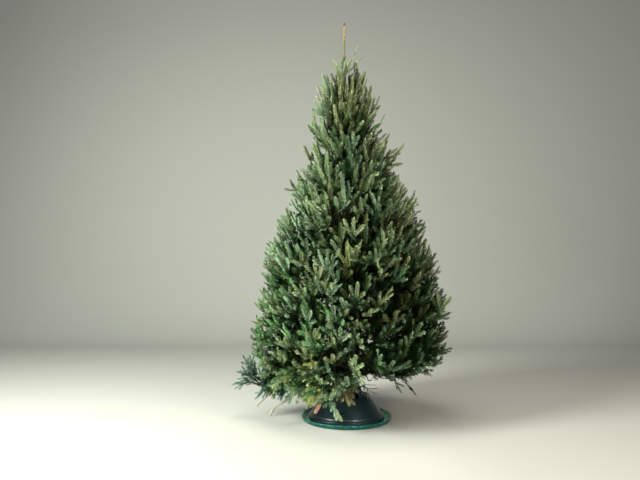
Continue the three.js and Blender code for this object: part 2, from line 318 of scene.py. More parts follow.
def noise_texture(tree, coordinates, scale, stretch, detail):
    """Noise in the object's own coordinates, drawn out along its axes by the stretch."""
    mapping = add_node(tree, "Mapping", Scale=[1 / s for s in stretch], Vector=coordinates)
    noise = add_node(tree, "TexNoise", Scale=scale, Detail=detail, Vector=mapping.outputs["Vector"])
    return noise.outputs["Fac"]


# Where the noise takes the first and the last colour, and the two ends of the roughness
NOISE_LOW, NOISE_SPAN = 0.3, 0.4
COLOUR_DETAIL, WEAR_DETAIL, BUMP_DETAIL = 5.0, 3.0, 4.0
# How much finer the wear is than the colour
WEAR_SCALE = 2.3


def noise_material(name, colours, scale, stretch, roughness, specular, metallic, bump, bump_scale):
    """A finish whose colour, roughness and relief vary by noise."""
    material = plain_material(name, colours[0], roughness[0], specular, metallic)
    tree = material.node_tree
    coordinates = tree.nodes.new("ShaderNodeTexCoord").outputs["Object"]
    sizes = scale, scale * WEAR_SCALE, bump_scale
    details = COLOUR_DETAIL, WEAR_DETAIL, BUMP_DETAIL
    blotches, marks, grain = (
        noise_texture(tree, coordinates, size, stretch, detail) for size, detail in zip(sizes, details)
    )
    ramp = add_node(tree, "ValToRGB", Fac=blotches)
    stops = ramp.color_ramp.elements
    stops.remove(stops[1])
    for i, colour in enumerate(colours):
        place = NOISE_LOW + NOISE_SPAN * i / (len(colours) - 1)
        stop = stops.new(place) if i else stops[0]
        stop.position = place
        stop.color = srgb(colour)
    low, high = roughness
    wear = add_node(tree, "MapRange", Value=marks, From_Min=NOISE_LOW, From_Max=NOISE_LOW + NOISE_SPAN,
                    To_Min=low, To_Max=high)
    relief = add_node(tree, "Bump", Distance=bump, Height=grain)
    outputs = {"Base Color": ramp.outputs["Color"], "Roughness": wear.outputs["Result"],
               "Normal": relief.outputs["Normal"]}
    for name, output in outputs.items():
        tree.links.new(output, tree.nodes["Principled BSDF"].inputs[name])
    return material


# Colours, the blotches' scale and stretch, roughness, specular, metallic, bump in metres and its scale
EVEN = (1, 1, 1)
FINISHES = {
    "bark": (["221d16", "453c30", "5b5646", "6f6c5a"], 22, (1, 1, 2.2), (0.82, 0.95), 0.2, 0.0, 0.002, 160),
    "young_bark": (["4f3a1c", "94773f", "c2a76c"], 75, (1, 1, 1.5), (0.6, 0.8), 0.3, 0.0, 0.001, 400),
    "green_bark": (["4a4a30", "6b6a48", "87855f"], 90, (1, 1, 1.5), (0.6, 0.8), 0.3, 0.0, 0.001, 400),
    "bud": (["2c1d12", "4a3320", "6b4f2f"], 150, EVEN, (0.35, 0.6), 0.5, 0.0, 0.0005, 700),
    "dead_wood": (["9a6a5a", "bd8c7a", "d0ab9a"], 70, (1, 1, 6), (0.6, 0.8), 0.3, 0.0, 0.0008, 300),
    "stand_plastic": (["0f1c20", "142529", "1b3034"], 9, EVEN, (0.26, 0.42), 0.4, 0.0, 0.0005, 60),
    "tray_plastic": (["02362e", "054a40", "1c7065"], 34, EVEN, (0.22, 0.5), 0.25, 0.0, 0.003, 55),
    # Inside, the tray is paler than its outside, and paler still on one side: partly dust and scuffs, partly
    # painted light, with painted highlights in the palest patches
    "dust_and_painted_light_tray_plastic": (
        ["078463", "18a07c", "5abf9f", "bfe3d4"], 26, EVEN, (0.2, 0.55), 0.3, 0.0, 0.003, 55),
    "scuffs_and_painted_light_tray_plastic": (
        ["1aa67f", "2fbf96", "86d9be", "e4f4ec"], 40, EVEN, (0.2, 0.5), 0.3, 0.0, 0.003, 55),
    "steel": (["6f7375", "8c9194", "a5a9ab"], 90, EVEN, (0.28, 0.5), 0.5, 1.0, 0.0002, 500),
}
finishes = {name: noise_material(name, *row) for name, row in FINISHES.items()}


# Camera, floor and light

def add_camera():
    data = bpy.data.cameras.new("camera")
    data.sensor_width = SENSOR_MM
    data.lens = SENSOR_MM * FOCAL_PX / FRAME_WIDTH_PX
    camera = add_object("camera", data)
    camera.location = CAMERA_PLACE
    camera.rotation_euler = (math.radians(90 + CAMERA_TILT_DEG), 0, 0)
    bpy.context.scene.camera = camera


def add_stage():
    """A floor that bends up into a backdrop."""
    half, rise, back, bend, steps = 14.0, 9.0, 5.5, 1.6, 12
    turn = np.linspace(0, math.pi / 2, steps)
    profile = [(-half, 0.0)]
    profile += [(back + bend * math.sin(a), bend * (1 - math.cos(a))) for a in turn]
    profile.append((back + bend, rise))
    points = [(x, y, z) for y, z in profile for x in (-half, half)]
    faces = np.array([[2 * i, 2 * i + 1, 2 * i + 3, 2 * i + 2] for i in range(len(profile) - 1)])
    material = plain_material("backdrop", "c6c8c4", 0.85, 0.2)
    mesh_object("floor_and_backdrop", points, [(faces, 0)], [material], smooth=True)


# Name, place, target, size, watts, colour and spread in degrees
LIGHTS = [
    ("left_key", (-5.2, -3.6, 3.9), (0, 0, 2.0), 2.4, 790, (0.98, 1.0, 0.88), 180),
    ("left_low", (-3.3, -2.4, 0.9), (-0.1, -0.2, 0.35), 1.2, 54, (0.96, 1.0, 0.92), 180),
    ("right_fill", (2.9, -4.2, 3.9), (0, 0, 1.8), 2.4, 135, (1.0, 0.9, 0.72), 180),
    ("right_low", (1.5, -3.3, 1.0), (-0.1, -0.1, 0.03), 0.5, 1.1, (1.0, 0.96, 0.9), 24),
    ("above", (-0.5, -0.8, 6.5), (0, 0, 1.5), 3.0, 165, (1.0, 0.96, 0.84), 180),
]
WORLD_COLOUR, WORLD_STRENGTH = (0.86, 0.88, 0.9, 1), 0.16


def add_area_light(name, place, target, size, watts, colour, spread_deg):
    data = bpy.data.lights.new(name, "AREA")
    data.shape = "DISK"
    data.spread = math.radians(spread_deg)
    data.size = size
    data.energy = watts
    data.color = colour
    light = add_object(name, data)
    light.location = place
    light.rotation_euler = (Vector(target) - Vector(place)).to_track_quat("-Z", "Y").to_euler()


def add_lights():
    for row in LIGHTS:
        add_area_light(*row)
    world = bpy.data.worlds.new("studio")
    world.use_nodes = True
    background = world.node_tree.nodes["Background"]
    background.inputs["Color"].default_value = WORLD_COLOUR
    background.inputs["Strength"].default_value = WORLD_STRENGTH
    bpy.context.scene.world = world
    bpy.context.scene.view_settings.view_transform = "Standard"


add_camera()
add_stage()
add_lights()


# The frame's trunk, limbs and crown

trunk_points = mesh_points(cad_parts["trunk"])
ring_heights = np.unique(np.round(trunk_points[:, 2], 4))
rings = [trunk_points[np.abs(trunk_points[:, 2] - z) < 1e-4][:, :2] for z in ring_heights]
ring_middles = np.array([ring.mean(axis=0) for ring in rings])
ring_radii = np.array([np.linalg.norm(ring - mid, axis=1).max() for ring, mid in zip(rings, ring_middles)])


def trunk_axis(z):
    x, y = (np.interp(z, ring_heights, ring_middles[:, i]) for i in (0, 1))
    return np.stack([x, y, np.asarray(z, float)], axis=-1)


def trunk_radius(z):
    return np.interp(z, ring_heights, ring_radii)


class Limb:
    """The line of a CAD bough, from the trunk's axis on through its mass, where it lifts its end."""

    LIFT = 0.3
    # The length of a bough's first and last parts, whose middles its line joins
    PART = 0.03

    def __init__(self, label):
        points = mesh_points(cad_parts[f"bough_{label}"])
        reach = np.hypot(points[:, 0], points[:, 1])
        end = points[reach > reach.max() - self.PART].mean(axis=0)
        near = points[reach < reach.min() + self.PART]
        start = near.mean(axis=0)
        self.thickness = np.ptp(near[:, 2]) / 2
        self.heading = unit(end - start)
        self.root = start - self.heading * np.hypot(*start[:2]) / np.hypot(*self.heading[:2])
        self.bare = np.linalg.norm(end - self.root)

    def at(self, distance):
        distance = np.asarray(distance)[..., None]
        return self.root + self.heading * distance + UP * self.LIFT * np.maximum(distance - self.bare, 0) ** 2

    def distance(self, place):
        """From the limb's ray to a place."""
        way = place - self.root
        return np.linalg.norm(way - self.heading * max(way @ self.heading, 0.0))


def labels_of(kind):
    """What follows the kind in its nodes' names, in order."""
    return [name.removeprefix(kind) for name in sorted(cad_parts) if name.startswith(kind)]


limbs = {label: Limb(label) for label in labels_of("bough_")}
# The masses of the crown, which the low one isn't part of
crown_labels = [label for label in labels_of("foliage_") if label != "low"]
crown_points = np.concatenate([mesh_points(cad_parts[f"foliage_{label}"]) for label in crown_labels])


class Crown:
    """The outline of all the masses together: its reach by azimuth and height."""

    # How near a point counts, round and up, and the reach where none is near
    NEAR_TURN, NEAR_RISE = 0.24, 0.11
    LEAST_REACH = 0.02
    SMOOTHINGS = 2

    def __init__(self, points, turns=48, levels=60):
        x, y, z = points.T
        self.heights = np.linspace(z.min(), z.max(), levels)
        table = np.zeros((turns, levels))
        for i, azimuth in enumerate(np.linspace(-math.pi, math.pi, turns, endpoint=False)):
            beside = np.abs(turn_from(azimuth, np.arctan2(y, x))) < self.NEAR_TURN
            for j, height in enumerate(self.heights):
                near = beside & (np.abs(z - height) < self.NEAR_RISE)
                table[i, j] = np.hypot(x, y)[near].max() if near.any() else self.LEAST_REACH
        for _ in range(self.SMOOTHINGS):
            table = (np.roll(table, 1, 0) + 2 * table + np.roll(table, -1, 0)) / 4
            inner = table.copy()
            inner[:, 1:-1] = (table[:, :-2] + 2 * table[:, 1:-1] + table[:, 2:]) / 4
            table = inner
        self.table = table

    def reach(self, azimuth, height):
        turns, levels = self.table.shape
        turn = (np.asarray(azimuth) + math.pi) / (2 * math.pi) * turns
        level = np.clip((height - self.heights[0]) / np.ptp(self.heights) * (levels - 1), 0, levels - 1.001)
        i, j = turn.astype(int), np.asarray(level).astype(int)
        u, v = turn - i, level - j
        here, other = (
            self.table[k % turns, j] * (1 - v) + self.table[k % turns, j + 1] * v for k in (i, i + 1)
        )
        return here * (1 - u) + other * u

    def depth(self, places):
        """How far in from the crown's outside these places lie."""
        azimuth = np.arctan2(places[:, 1], places[:, 0])
        return self.reach(azimuth, places[:, 2]) - np.hypot(places[:, 0], places[:, 1])


crown = Crown(crown_points)
HEM, CROWN_TOP = crown.heights[0], crown.heights[-1]


def tip_inset(place):
    """How far most tips stay inside the crown's outline at a place, or at several."""
    x, y, z = np.moveaxis(place, -1, 0)
    rightward = x / np.maximum(np.hypot(x, y), 1e-6)
    left, right = (read_off(table, z) for table in (TIP_INSET_LEFT, TIP_INSET_RIGHT))
    return left * (1 - rightward) / 2 + right * (1 + rightward) / 2


def crown_heading(place, spread):
    """The way in which the outer shoots grow at a place: outwards and up, drooping near the hem."""
    return leaned(radial(math.atan2(place[1], place[0]), read_off(TIP_RISE_DEG, place[2])), spread)


# Shoots. Each is a curve of three control points that carries needles, with a thin stem.

class Shoots:
    def __init__(self):
        self.rows = []

    def add(self, p0, p1, p2, up, family, tone, density, size, stem):
        self.rows.append((p0, p1, p2, up, FAMILIES.index(family), tone, density, size, stem))

    def arrays(self):
        return [np.array(column, float) for column in zip(*self.rows)]


class Spray:
    """A branch with side twigs, like a fishbone, all in one colour family."""

    STEM = 0.0016
    # How a shoot differs from one a year younger. The tone it loses each year is partly the older needles'
    # darker colour and partly painted shade between the shoots.
    STEM_A_YEAR, TONE_A_YEAR, DENSITY_A_YEAR, SIZE_A_YEAR = 0.0012, 0.8, 0.62, 0.2
    TONE_NOISE = 0.3
    # A twig's shoots shorten from year to year, and all but the last are cut to a share to make room for it
    EARLY_SHARE, NEXT_SHARE = 0.8, 0.95
    # How strongly a twig turns to the crown's own heading each year, and how much that heading differs
    TURN, TURN_SPREAD = 0.22, 0.3
    SIDE_NOISE_DEG, SIDE_LIFT, SIDE_SPREAD, SIDE_VARIES = 10, 0.2, 0.08, (0.8, 1.15)
    YEAR_VARIES = (0.85, 1.15)
    # The share of a branch that may carry shoots
    CLOTHED = 0.9
    # The chances that a side twig has two years, and that there are more side twigs between or on top
    TWO_YEARS, MORE, ON_TOP = 0.22, 0.3, 0.3
    BETWEEN = (0.3, 0.7)

    def __init__(self, shoots, family, tone, length, density, size):
        self.shoots = shoots
        self.family = family
        self.tone = tone
        self.length = length
        self.density = density
        self.size = size

    def shoot(self, p0, p1, p2, up, age):
        tone = self.tone - self.TONE_A_YEAR * age + rng.normal(0, self.TONE_NOISE)
        density, size = self.density * self.DENSITY_A_YEAR**age, self.size * (1 + self.SIZE_A_YEAR * age)
        self.shoots.add(p0, p1, p2, up, self.family, tone, density, size, self.STEM + self.STEM_A_YEAR * age)

    def twig(self, base, heading, up, years, length, age):
        """A twig of so many years: a shoot, a pair of side shoots at its end, and the next year's shoot."""
        grown = length * (self.EARLY_SHARE if years > 1 else 1.0)
        onward = unit(heading + self.TURN * crown_heading(base, self.TURN_SPREAD))
        p1 = base + heading * grown / 2
        p2 = p1 + onward * grown / 2
        self.shoot(base, p1, p2, up, years - 1 + age)
        if years < 2:
            return
        for hand in (-1, 1):
            self.side(p2, onward, up, hand, 1, length * SIDE_SHARE, age)
        self.twig(p2, onward, up, years - 1, length * self.NEXT_SHARE, age)

    def side(self, base, heading, up, hand, years, length, age):
        noise = between(-self.SIDE_NOISE_DEG, self.SIDE_NOISE_DEG)
        angle = math.radians(read_off(SIDE_ANGLE_DEG, base[2]) + noise)
        out = heading * math.cos(angle) + hand * across(heading, up) * math.sin(angle)
        out = leaned(out + up * between(-self.SIDE_LIFT, self.SIDE_LIFT), self.SIDE_SPREAD)
        self.twig(base, out, up, years, length * between(*self.SIDE_VARIES), age)

    def branch(self, path, up, years):
        """The needles and side twigs on the last years of a branch that runs along a path."""
        lengths = np.concatenate([[0], np.cumsum(np.linalg.norm(np.diff(path, axis=0), axis=1))])

        def at(away):
            where = np.maximum(lengths[-1] - away, 0)
            return np.array([np.interp(where, lengths, path[:, k]) for k in range(3)])

        node = 0.0
        for year in range(years):
            grown = self.length * between(*self.YEAR_VARIES)
            if node + grown > self.CLOTHED * lengths[-1]:
                break
            outer, inner, half = at(node), at(node + grown), at(node + grown / 2)
            heading = unit(outer - inner)
            this_up = unit(up - heading * (up @ heading))
            self.shoot(inner, 2 * half - (inner + outer) / 2, outer, this_up, year)
            side_length = self.length * SIDE_SHARE
            for hand in (-1, 1):
                side_years = 2 if year and rng.random() < self.TWO_YEARS else 1
                self.side(inner, heading, this_up, hand, side_years, side_length, max(year - 1, 0))
                if year and rng.random() < self.MORE:
                    place = at(node + grown * between(*self.BETWEEN))
                    self.side(place, heading, this_up, hand, 1, side_length, year)
            if rng.random() < self.ON_TOP:
                self.side(inner, heading, across(heading, this_up), -1, 1, side_length, year)
            node += grown


# Where a branch's two bends lie, as shares of its reach from its start and its tip, and each half's points
BEND_SHARE, KNEE_SHARE, HALF_STEPS = 0.32, 0.45, 5


def branch_path(start, start_heading, tip, tip_heading):
    """A curve that leaves the limb one way and reaches the tip another way."""
    reach = np.linalg.norm(tip - start)
    bend = start + start_heading * reach * BEND_SHARE
    knee = tip - tip_heading * reach * KNEE_SHARE
    middle = (bend + knee) / 2
    t = np.linspace(0, 1, HALF_STEPS)
    return np.concatenate([bezier(start, bend, middle, t), bezier(middle, knee, tip, t[1:])])


# How far round their stem from its top the needles sit, and from where on they may show their underside
STEM_TURN_DEG, STEM_TURN_SPREAD_DEG, STEM_TURN_MOST_DEG = 76, 42, 175
UNDERSIDE_DEG = 142
# How far needles lean out from the stem, and how long they are, by their share of the way along a shoot
LEAN_DEG = [(0, 44), (0.8, 44), (0.93, 36), (1, 20)]
LEAN_SPREAD_DEG = 6
NEEDLE_REACH = [(0, 0.8), (0.1, 1), (0.85, 0.97), (1, 0.72)]
# How much lengths, widths and faces differ, how wide a blade is at its foot and end, and how much it bows
REACH_VARIES, WIDTH_VARIES, FACE_SPREAD = (0.88, 1.08), (0.85, 1.15), 0.25
FOOT_WIDTH, END_WIDTH = 0.6, 0.85
NEEDLE_BOW = 0.06
FEWEST_NEEDLES = 6
# The tone of the outermost needles
OUTER_TONE = [(0.4, 3.2), (1.1, 3.15), (1.5, 3.35), (1.9, 3.25), (2.2, 3.15), (2.7, 2.95), (3.0, 2.7),
              (3.3, 2.6)]
NEEDLE_TONE_NOISE = 0.12
# How many tones lighter a shoot is at its end than at its foot: partly the new growth's lighter colour,
# partly painted shade on the shoot's inner half
TONE_RISE = 0.9
# How deep in the crown the needles are painted a tone darker, as painted shade
PAINTED_SHADE_DEPTH = [(0.4, 0.075), (1.2, 0.08), (1.8, 0.075), (2.2, 0.06), (2.8, 0.05), (3.05, 0.06), (3.25, 0.12)]
# Painted shade on the low right: how far across and below what height the sprays are painted darker, and by
# how many tones
PAINTED_SHADE_ACROSS = [(-0.04, 0.0), (0.08, 0.4), (0.4, 1.0)]
PAINTED_SHADE_HEIGHT = [(1.1, 1.0), (1.9, 0.0)]
PAINTED_SHADE_TONES = 1.25

# Where the crown is open to the light behind it, in the photograph's pixels across and down. Behind the
# crown's near side the needles leave these lines of sight open.
SKY_PX = [(316, 247), (311, 253), (289, 241), (329, 263), (337, 198), (297, 231), (314, 231), (293, 263),
          (306, 270), (314, 279), (302, 278), (338, 283), (325, 301), (330, 306), (336, 325), (329, 241)]
FRAME_MIDDLE_PX = (320, 240)
SKY_RADIUS = 0.026
SKY_RADIUS_VARIES = (0.5, 1.3)
NEAR_SIDE_DEPTH = 0.1


def sight_lines(pixels):
    """The headings from the camera through pixels of the photograph."""
    right, down = ((np.array(pixels) - FRAME_MIDDLE_PX) / FOCAL_PX).T[..., None]
    forward, upward = radial(math.pi / 2, CAMERA_TILT_DEG), radial(math.pi / 2, 90 + CAMERA_TILT_DEG)
    return unit(forward + right * np.array([1.0, 0.0, 0.0]) - down * upward)


def in_sky(points):
    """Which of the points would close an opening to the sky."""
    way = points - np.array(CAMERA_PLACE)
    radius = SKY_RADIUS * rng.uniform(*SKY_RADIUS_VARIES, len(points))
    near = [np.linalg.norm(way - np.outer(way @ line, line), axis=1) < radius for line in sight_lines(SKY_PX)]
    behind = (points[:, 1] > 0) | (crown.depth(points) > NEAR_SIDE_DEPTH)
    return np.any(near, axis=0) & behind


def needle_mesh(shoots, shaded):
    """Blades of one four-sided face for every needle of these shoots, and each blade's material."""
    p0, p1, p2, up, family, tone, density, size, _ = shoots.arrays()
    # Painted shade: where shaded is set, needles are painted darker the deeper they lie in the crown
    depth = shaded * np.maximum(crown.depth((p1 + p2) / 2) - tip_inset(p1), 0)
    # The low right of the crown is painted darker still: painted shade
    shade = read_off(PAINTED_SHADE_ACROSS, p1[:, 0]) * read_off(PAINTED_SHADE_HEIGHT, p1[:, 2])
    outer = read_off(OUTER_TONE, p1[:, 2])
    tone = tone + outer - depth / read_off(PAINTED_SHADE_DEPTH, p1[:, 2]) - PAINTED_SHADE_TONES * shade
    length = np.linalg.norm(p1 - p0, axis=1) + np.linalg.norm(p2 - p1, axis=1)
    counts = np.maximum((length * NEEDLES_PER_METRE * density).astype(int), FEWEST_NEEDLES)
    owner = np.repeat(np.arange(len(counts)), counts)
    many = len(owner)
    order = np.arange(many) - np.repeat(np.cumsum(counts) - counts, counts)
    t = (order + rng.random(many)) / counts[owner]
    base = bezier(p0[owner], p1[owner], p2[owner], t)
    heading = bezier_heading(p0[owner], p1[owner], p2[owner], t)
    top = unit(up[owner] - heading * np.sum(up[owner] * heading, axis=1, keepdims=True))
    side = np.cross(heading, top)
    hand = np.where(order % 2 == 0, 1, -1)
    turn_deg = np.clip(rng.normal(STEM_TURN_DEG, STEM_TURN_SPREAD_DEG, many), 0, STEM_TURN_MOST_DEG)
    turn = (hand * np.radians(turn_deg))[:, None]
    lean = np.radians(read_off(LEAN_DEG, t) + rng.normal(0, LEAN_SPREAD_DEG, many))[:, None]
    spoke = top * np.cos(turn) + side * np.sin(turn)
    along = heading * np.cos(lean) + spoke * np.sin(lean)
    face = spoke * np.cos(lean) - heading * np.sin(lean)
    face = face + top * np.abs(np.sin(turn)) + rng.normal(0, FACE_SPREAD, face.shape)
    wide = unit(np.cross(along, face))
    reach = NEEDLE_LENGTH * size[owner] * read_off(NEEDLE_REACH, t) * rng.uniform(*REACH_VARIES, many)
    half = NEEDLE_WIDTH / 2 * size[owner] * rng.uniform(*WIDTH_VARIES, many)
    reach, half = reach[:, None], half[:, None]
    tip = base + along * reach - unit(np.cross(wide, along)) * reach * NEEDLE_BOW
    foot, end = (wide * half * share for share in (FOOT_WIDTH, END_WIDTH))
    corners = np.stack([base - foot, base + foot, tip + end, tip - end], axis=1)
    level = tone[owner] + TONE_RISE * (t - 0.5) + rng.normal(0, NEEDLE_TONE_NOISE, many)
    level = np.clip(np.round(level), 0, PALE_TONE - 1)
    pale = (turn_deg > UNDERSIDE_DEG) & (level >= PALE_FROM)
    kinds = family[owner] * TONES + np.where(pale, PALE_TONE, level)
    kept = ~in_sky(base + along * reach / 2)
    faces = np.arange(kept.sum() * 4).reshape(-1, 4)
    return corners[kept].reshape(-1, 3), faces, kinds[kept].astype(int)


STEM_SIDES = 3
# Where a stem's two rings lie on it, and how thick it is there
STEM_RINGS = [(0.0, 1.0), (0.5, 0.75)]
# How deep in the crown a stem takes the next darker colour: painted shade, and partly older wood
STEM_PAINTED_SHADE_DEPTH = 0.12


def stem_mesh(shoots):
    """Thin three-sided stems, each tapering to a point at the shoot's end, and each face's material."""
    p0, p1, p2, up, _, _, _, _, thickness = shoots.arrays()
    side = across(bezier_heading(p0, p1, p2, 0.0), up)
    loops = []
    for t, share in STEM_RINGS:
        middle = bezier(p0, p1, p2, np.full(len(p0), t))
        for turn in ring_turns(STEM_SIDES):
            spoke = side * math.cos(turn) + up * math.sin(turn)
            loops.append(middle + spoke * (thickness * share)[:, None])
    points = np.stack([*loops, p2], axis=1)
    own = np.arange(len(p0))[:, None, None] * points.shape[1]
    n = STEM_SIDES
    walls = own + np.array([[k, (k + 1) % n, n + (k + 1) % n, n + k] for k in range(n)])
    ends = own + np.array([[n + k, n + (k + 1) % n, 2 * n] for k in range(n)])
    # Deeper stems take darker colours, partly as older wood and partly as painted shade
    kinds = np.clip(np.round(GREEN_TWIG - crown.depth(p1) / STEM_PAINTED_SHADE_DEPTH), PAINTED_SHADE_TWIG, GREEN_TWIG)
    return points.reshape(-1, 3), walls.reshape(-1, 4), ends.reshape(-1, 3), np.repeat(kinds, n)


def tube(path, radii, sides, flat=1.0):
    """A round limb along a path, or a flattened one."""
    headings = unit(np.gradient(path, axis=0))
    side = unit(np.cross(headings, UP + 0.01))
    up = np.cross(side, headings)
    turn = ring_turns(sides)
    spokes = flat * side[:, None] * np.cos(turn)[None, :, None] + up[:, None] * np.sin(turn)[None, :, None]
    points = (path[:, None] + spokes * np.asarray(radii)[:, None, None]).reshape(-1, 3)
    return points, grid_faces(len(path), sides)


# Where the few yellow sprays are
YELLOW_PLACES = np.array([
    (-0.01, -0.7, 1.47), (-0.23, -0.75, 0.63), (-0.28, -0.5, 0.28), (-0.09, -0.6, 0.22),
])
YELLOW_REACH = 0.1
# How often sprays are warm in the middle at one height, more for each metre above it and to the right, and
# less towards the top. The warmth's rise to the right and upwards partly paints the warm light that falls
# there.
WARMTH, WARMTH_HEIGHT, WARMTH_A_METRE = 0.3, 1.3, 0.25
WARMTH_ACROSS = [(1.0, 0.25), (1.7, 0.8)]
TOP_WARMTH = [(2.0, 0.0), (2.7, -0.1)]
COLOURED_SHARE, PLAIN_SHARE = 0.65, 0.35
# How far across and at what height the cool sprays are fresh green ones
FRESH_ACROSS = [(-0.45, 0.8), (-0.05, 0.0)]
FRESH_HEIGHT = [(1.2, 1.0), (1.7, 0.0)]
# Round which place the silvery sprays are, and how far they reach across and up
SILVER_PLACE, SILVER_REACH, SILVER_SHARE = np.array([-0.35, 1.5]), np.array([0.35, 0.5]), 0.33


def family_for(place):
    """The colour family of a spray, by chance: cooler low on the left, warmer at the top and right, where the
    warmth partly paints the warm light.
    """
    if np.linalg.norm(YELLOW_PLACES - place, axis=1).min() < YELLOW_REACH:
        return "yellow"
    silver = SILVER_SHARE * math.exp(-np.sum(((place[[0, 2]] - SILVER_PLACE) / SILVER_REACH) ** 2))
    warm = WARMTH + read_off(WARMTH_ACROSS, place[2]) * place[0] + WARMTH_A_METRE * (place[2] - WARMTH_HEIGHT)
    warm = np.clip(warm + read_off(TOP_WARMTH, place[2]), 0.0, 1.0)
    fresh = read_off(FRESH_ACROSS, place[0]) * read_off(FRESH_HEIGHT, place[2])
    cool = COLOURED_SHARE * (1 - warm)
    shares = [cool * (1 - fresh), cool * fresh, PLAIN_SHARE, COLOURED_SHARE * warm, silver / (1 - silver)]
    return str(rng.choice(["cool", "fresh", "plain", "warm", "silver"], p=np.array(shares) / np.sum(shares)))


# Where the branches reach the crown's outside

TIP_MASS_FLOOR = 2.56
TIP_MASS_RISE_DEG = 52


def label_for(place):
    """The limb nearest to a place, or the tip's own mass round the top of the trunk."""
    if place[2] > TIP_MASS_FLOOR + math.tan(math.radians(TIP_MASS_RISE_DEG)) * np.hypot(*place[:2]):
        return "tip"
    return min((label for label in limbs if label != "low"), key=lambda label: limbs[label].distance(place))


# The hem hangs lowest at the front left. From there to the right it rises, and more so towards the front.
HEM_FLOOR = [(-0.14, HEM), (0.02, 0.41), (0.4, 0.41), (0.58, 0.36), (0.74, 0.43), (0.93, 0.64)]
HEM_ACROSS = [(-0.14, 0.0), (0.02, 1.0)]
HEM_RISE_FRONT = [(-1.0, 0.24), (0.0, 0.0), (1.0, -0.1)]


def under_hem(place):
    rise = read_off(HEM_RISE_FRONT, place[1]) * read_off(HEM_ACROSS, place[0])
    return place[2] < read_off(HEM_FLOOR, place[0]) + rise


# More of the places tried are low than high, and where the crown is narrower than a share of its widest, the
# spacing shrinks, to a share of itself at the axis
LOW_POWER = 1.3
WIDE_SHARE, SPACING_AT_AXIS, SPACING_GROWS = 0.7, 0.85, 0.15


def spread_places(shares, top, spacing):
    """Places in the crown at a share of its reach, none closer than the spacing, as label: [place, ...]."""
    heights = HEM + (top - HEM) * rng.random(CANDIDATES) ** LOW_POWER
    azimuths = rng.uniform(-math.pi, math.pi, CANDIDATES)
    shares = rng.uniform(*shares, CANDIDATES)
    widest = crown.table.max()
    found = []
    for azimuth, z, share in zip(azimuths, heights, shares):
        reach = crown.reach(azimuth, z)
        place = reach * share * radial(azimuth) + UP * z
        wide = min(reach / widest / WIDE_SHARE, 1)
        room = spacing * (SPACING_AT_AXIS + SPACING_GROWS * wide) * read_off(SPACING_BY_HEIGHT, z)
        crowded = found and np.min(np.linalg.norm(np.array(found) - place, axis=1)) < room
        if not crowded and not under_hem(place):
            found.append(place)
    places = {label: [] for label in crown_labels}
    for place in found:
        places[label_for(place)].append(place)
    return places


# The angle between a limb and its branches, how much closer to the trunk they leave it, how far along at most
# and how much they lean to their tips at once
FORK_DEG, FORK_BACK, FORK_SHARE, FORK_LEAN = (34, 46), 0.12, 0.8, 0.9
# How steeply the branches of the tip's mass leave the trunk, and how much further down
TIP_FORK_DEG, TIP_FORK_DOWN, TIP_REACH_LEAST = 58, 0.2, 0.02


def branch_start(label, tip):
    """Where on the limb, or on the top of the trunk, the branch to this tip begins, and its heading there."""
    if label == "tip":
        reach = np.hypot(*tip[:2])
        start = trunk_axis(tip[2] - TIP_FORK_DOWN - reach * math.tan(math.radians(TIP_FORK_DEG)))
        return start, unit(tip * LEVEL / max(reach, TIP_REACH_LEAST) + FORK_LEAN * UP)
    limb = limbs[label]
    along = (tip - limb.root) @ limb.heading
    back = limb.distance(tip) / math.tan(math.radians(between(*FORK_DEG))) + FORK_BACK
    start = limb.at(np.clip(along - back, 0.0, FORK_SHARE * along))
    return start, unit(limb.heading + FORK_LEAN * unit(tip - start))


class Wood:
    """The bare wood of a mass: tubes, each of one twig colour."""

    TIP = 0.002

    def __init__(self):
        self.tubes = []
        self.kinds = []

    def add(self, path, thick, thin=TIP, kind=BRANCH_TWIG, sides=4):
        points, quads = tube(path, np.linspace(thick, thin, len(path)), sides)
        self.tubes.append((points, quads))
        self.kinds.append(np.full(len(quads), kind))


# How the branches that make the crown's outside, the layer below, its inside and its hem differ
# Their tone shifts the needles' tones before the painted shade of depth: the inner branches' lower one paints
# them darker still, and the hem's higher one lifts the hem out of it
BRANCH_FORMS = {
    "outer": dict(spread=0.32, tone=0.0, longer=1.0, density=1.0, size=1.0, years=2),
    "stray": dict(spread=0.15, tone=0.0, longer=1.0, density=1.0, size=1.0, years=2),
    "middle": dict(spread=0.3, tone=0.3, longer=1.1, density=0.7, size=1.12, years=1),
    "inner": dict(spread=0.36, tone=-0.5, longer=1.3, density=0.32, size=1.8, years=1),
    "hem": dict(spread=0.34, tone=2.4, longer=1.0, density=0.6, size=1.2, years=2),
}


def reseed(place):
    """Begins the random numbers anew for a place, so that what grows there doesn't depend on the rest."""
    # Its millimetres from a corner 10 m away, which are never negative
    seeds = [int(round(1000 * (c + 10))) for c in place]
    rng.bit_generator.state = np.random.PCG64(seeds).state


# How much the branches differ in their tips' places, their shoots' lengths, their tone and their upper side
TIP_VARIES, LENGTH_VARIES, BRANCH_TONE_NOISE, UP_SPREAD = (-0.04, 0.03), (0.8, 1.15), 0.3, 0.55
# Where a branch rises more steeply than this share, its upper side faces the trunk, tipped up by another
STEEP, STEEP_TIPPED = 0.9, 0.4
WOOD_LEAST, WOOD_A_METRE = 0.003, 0.007


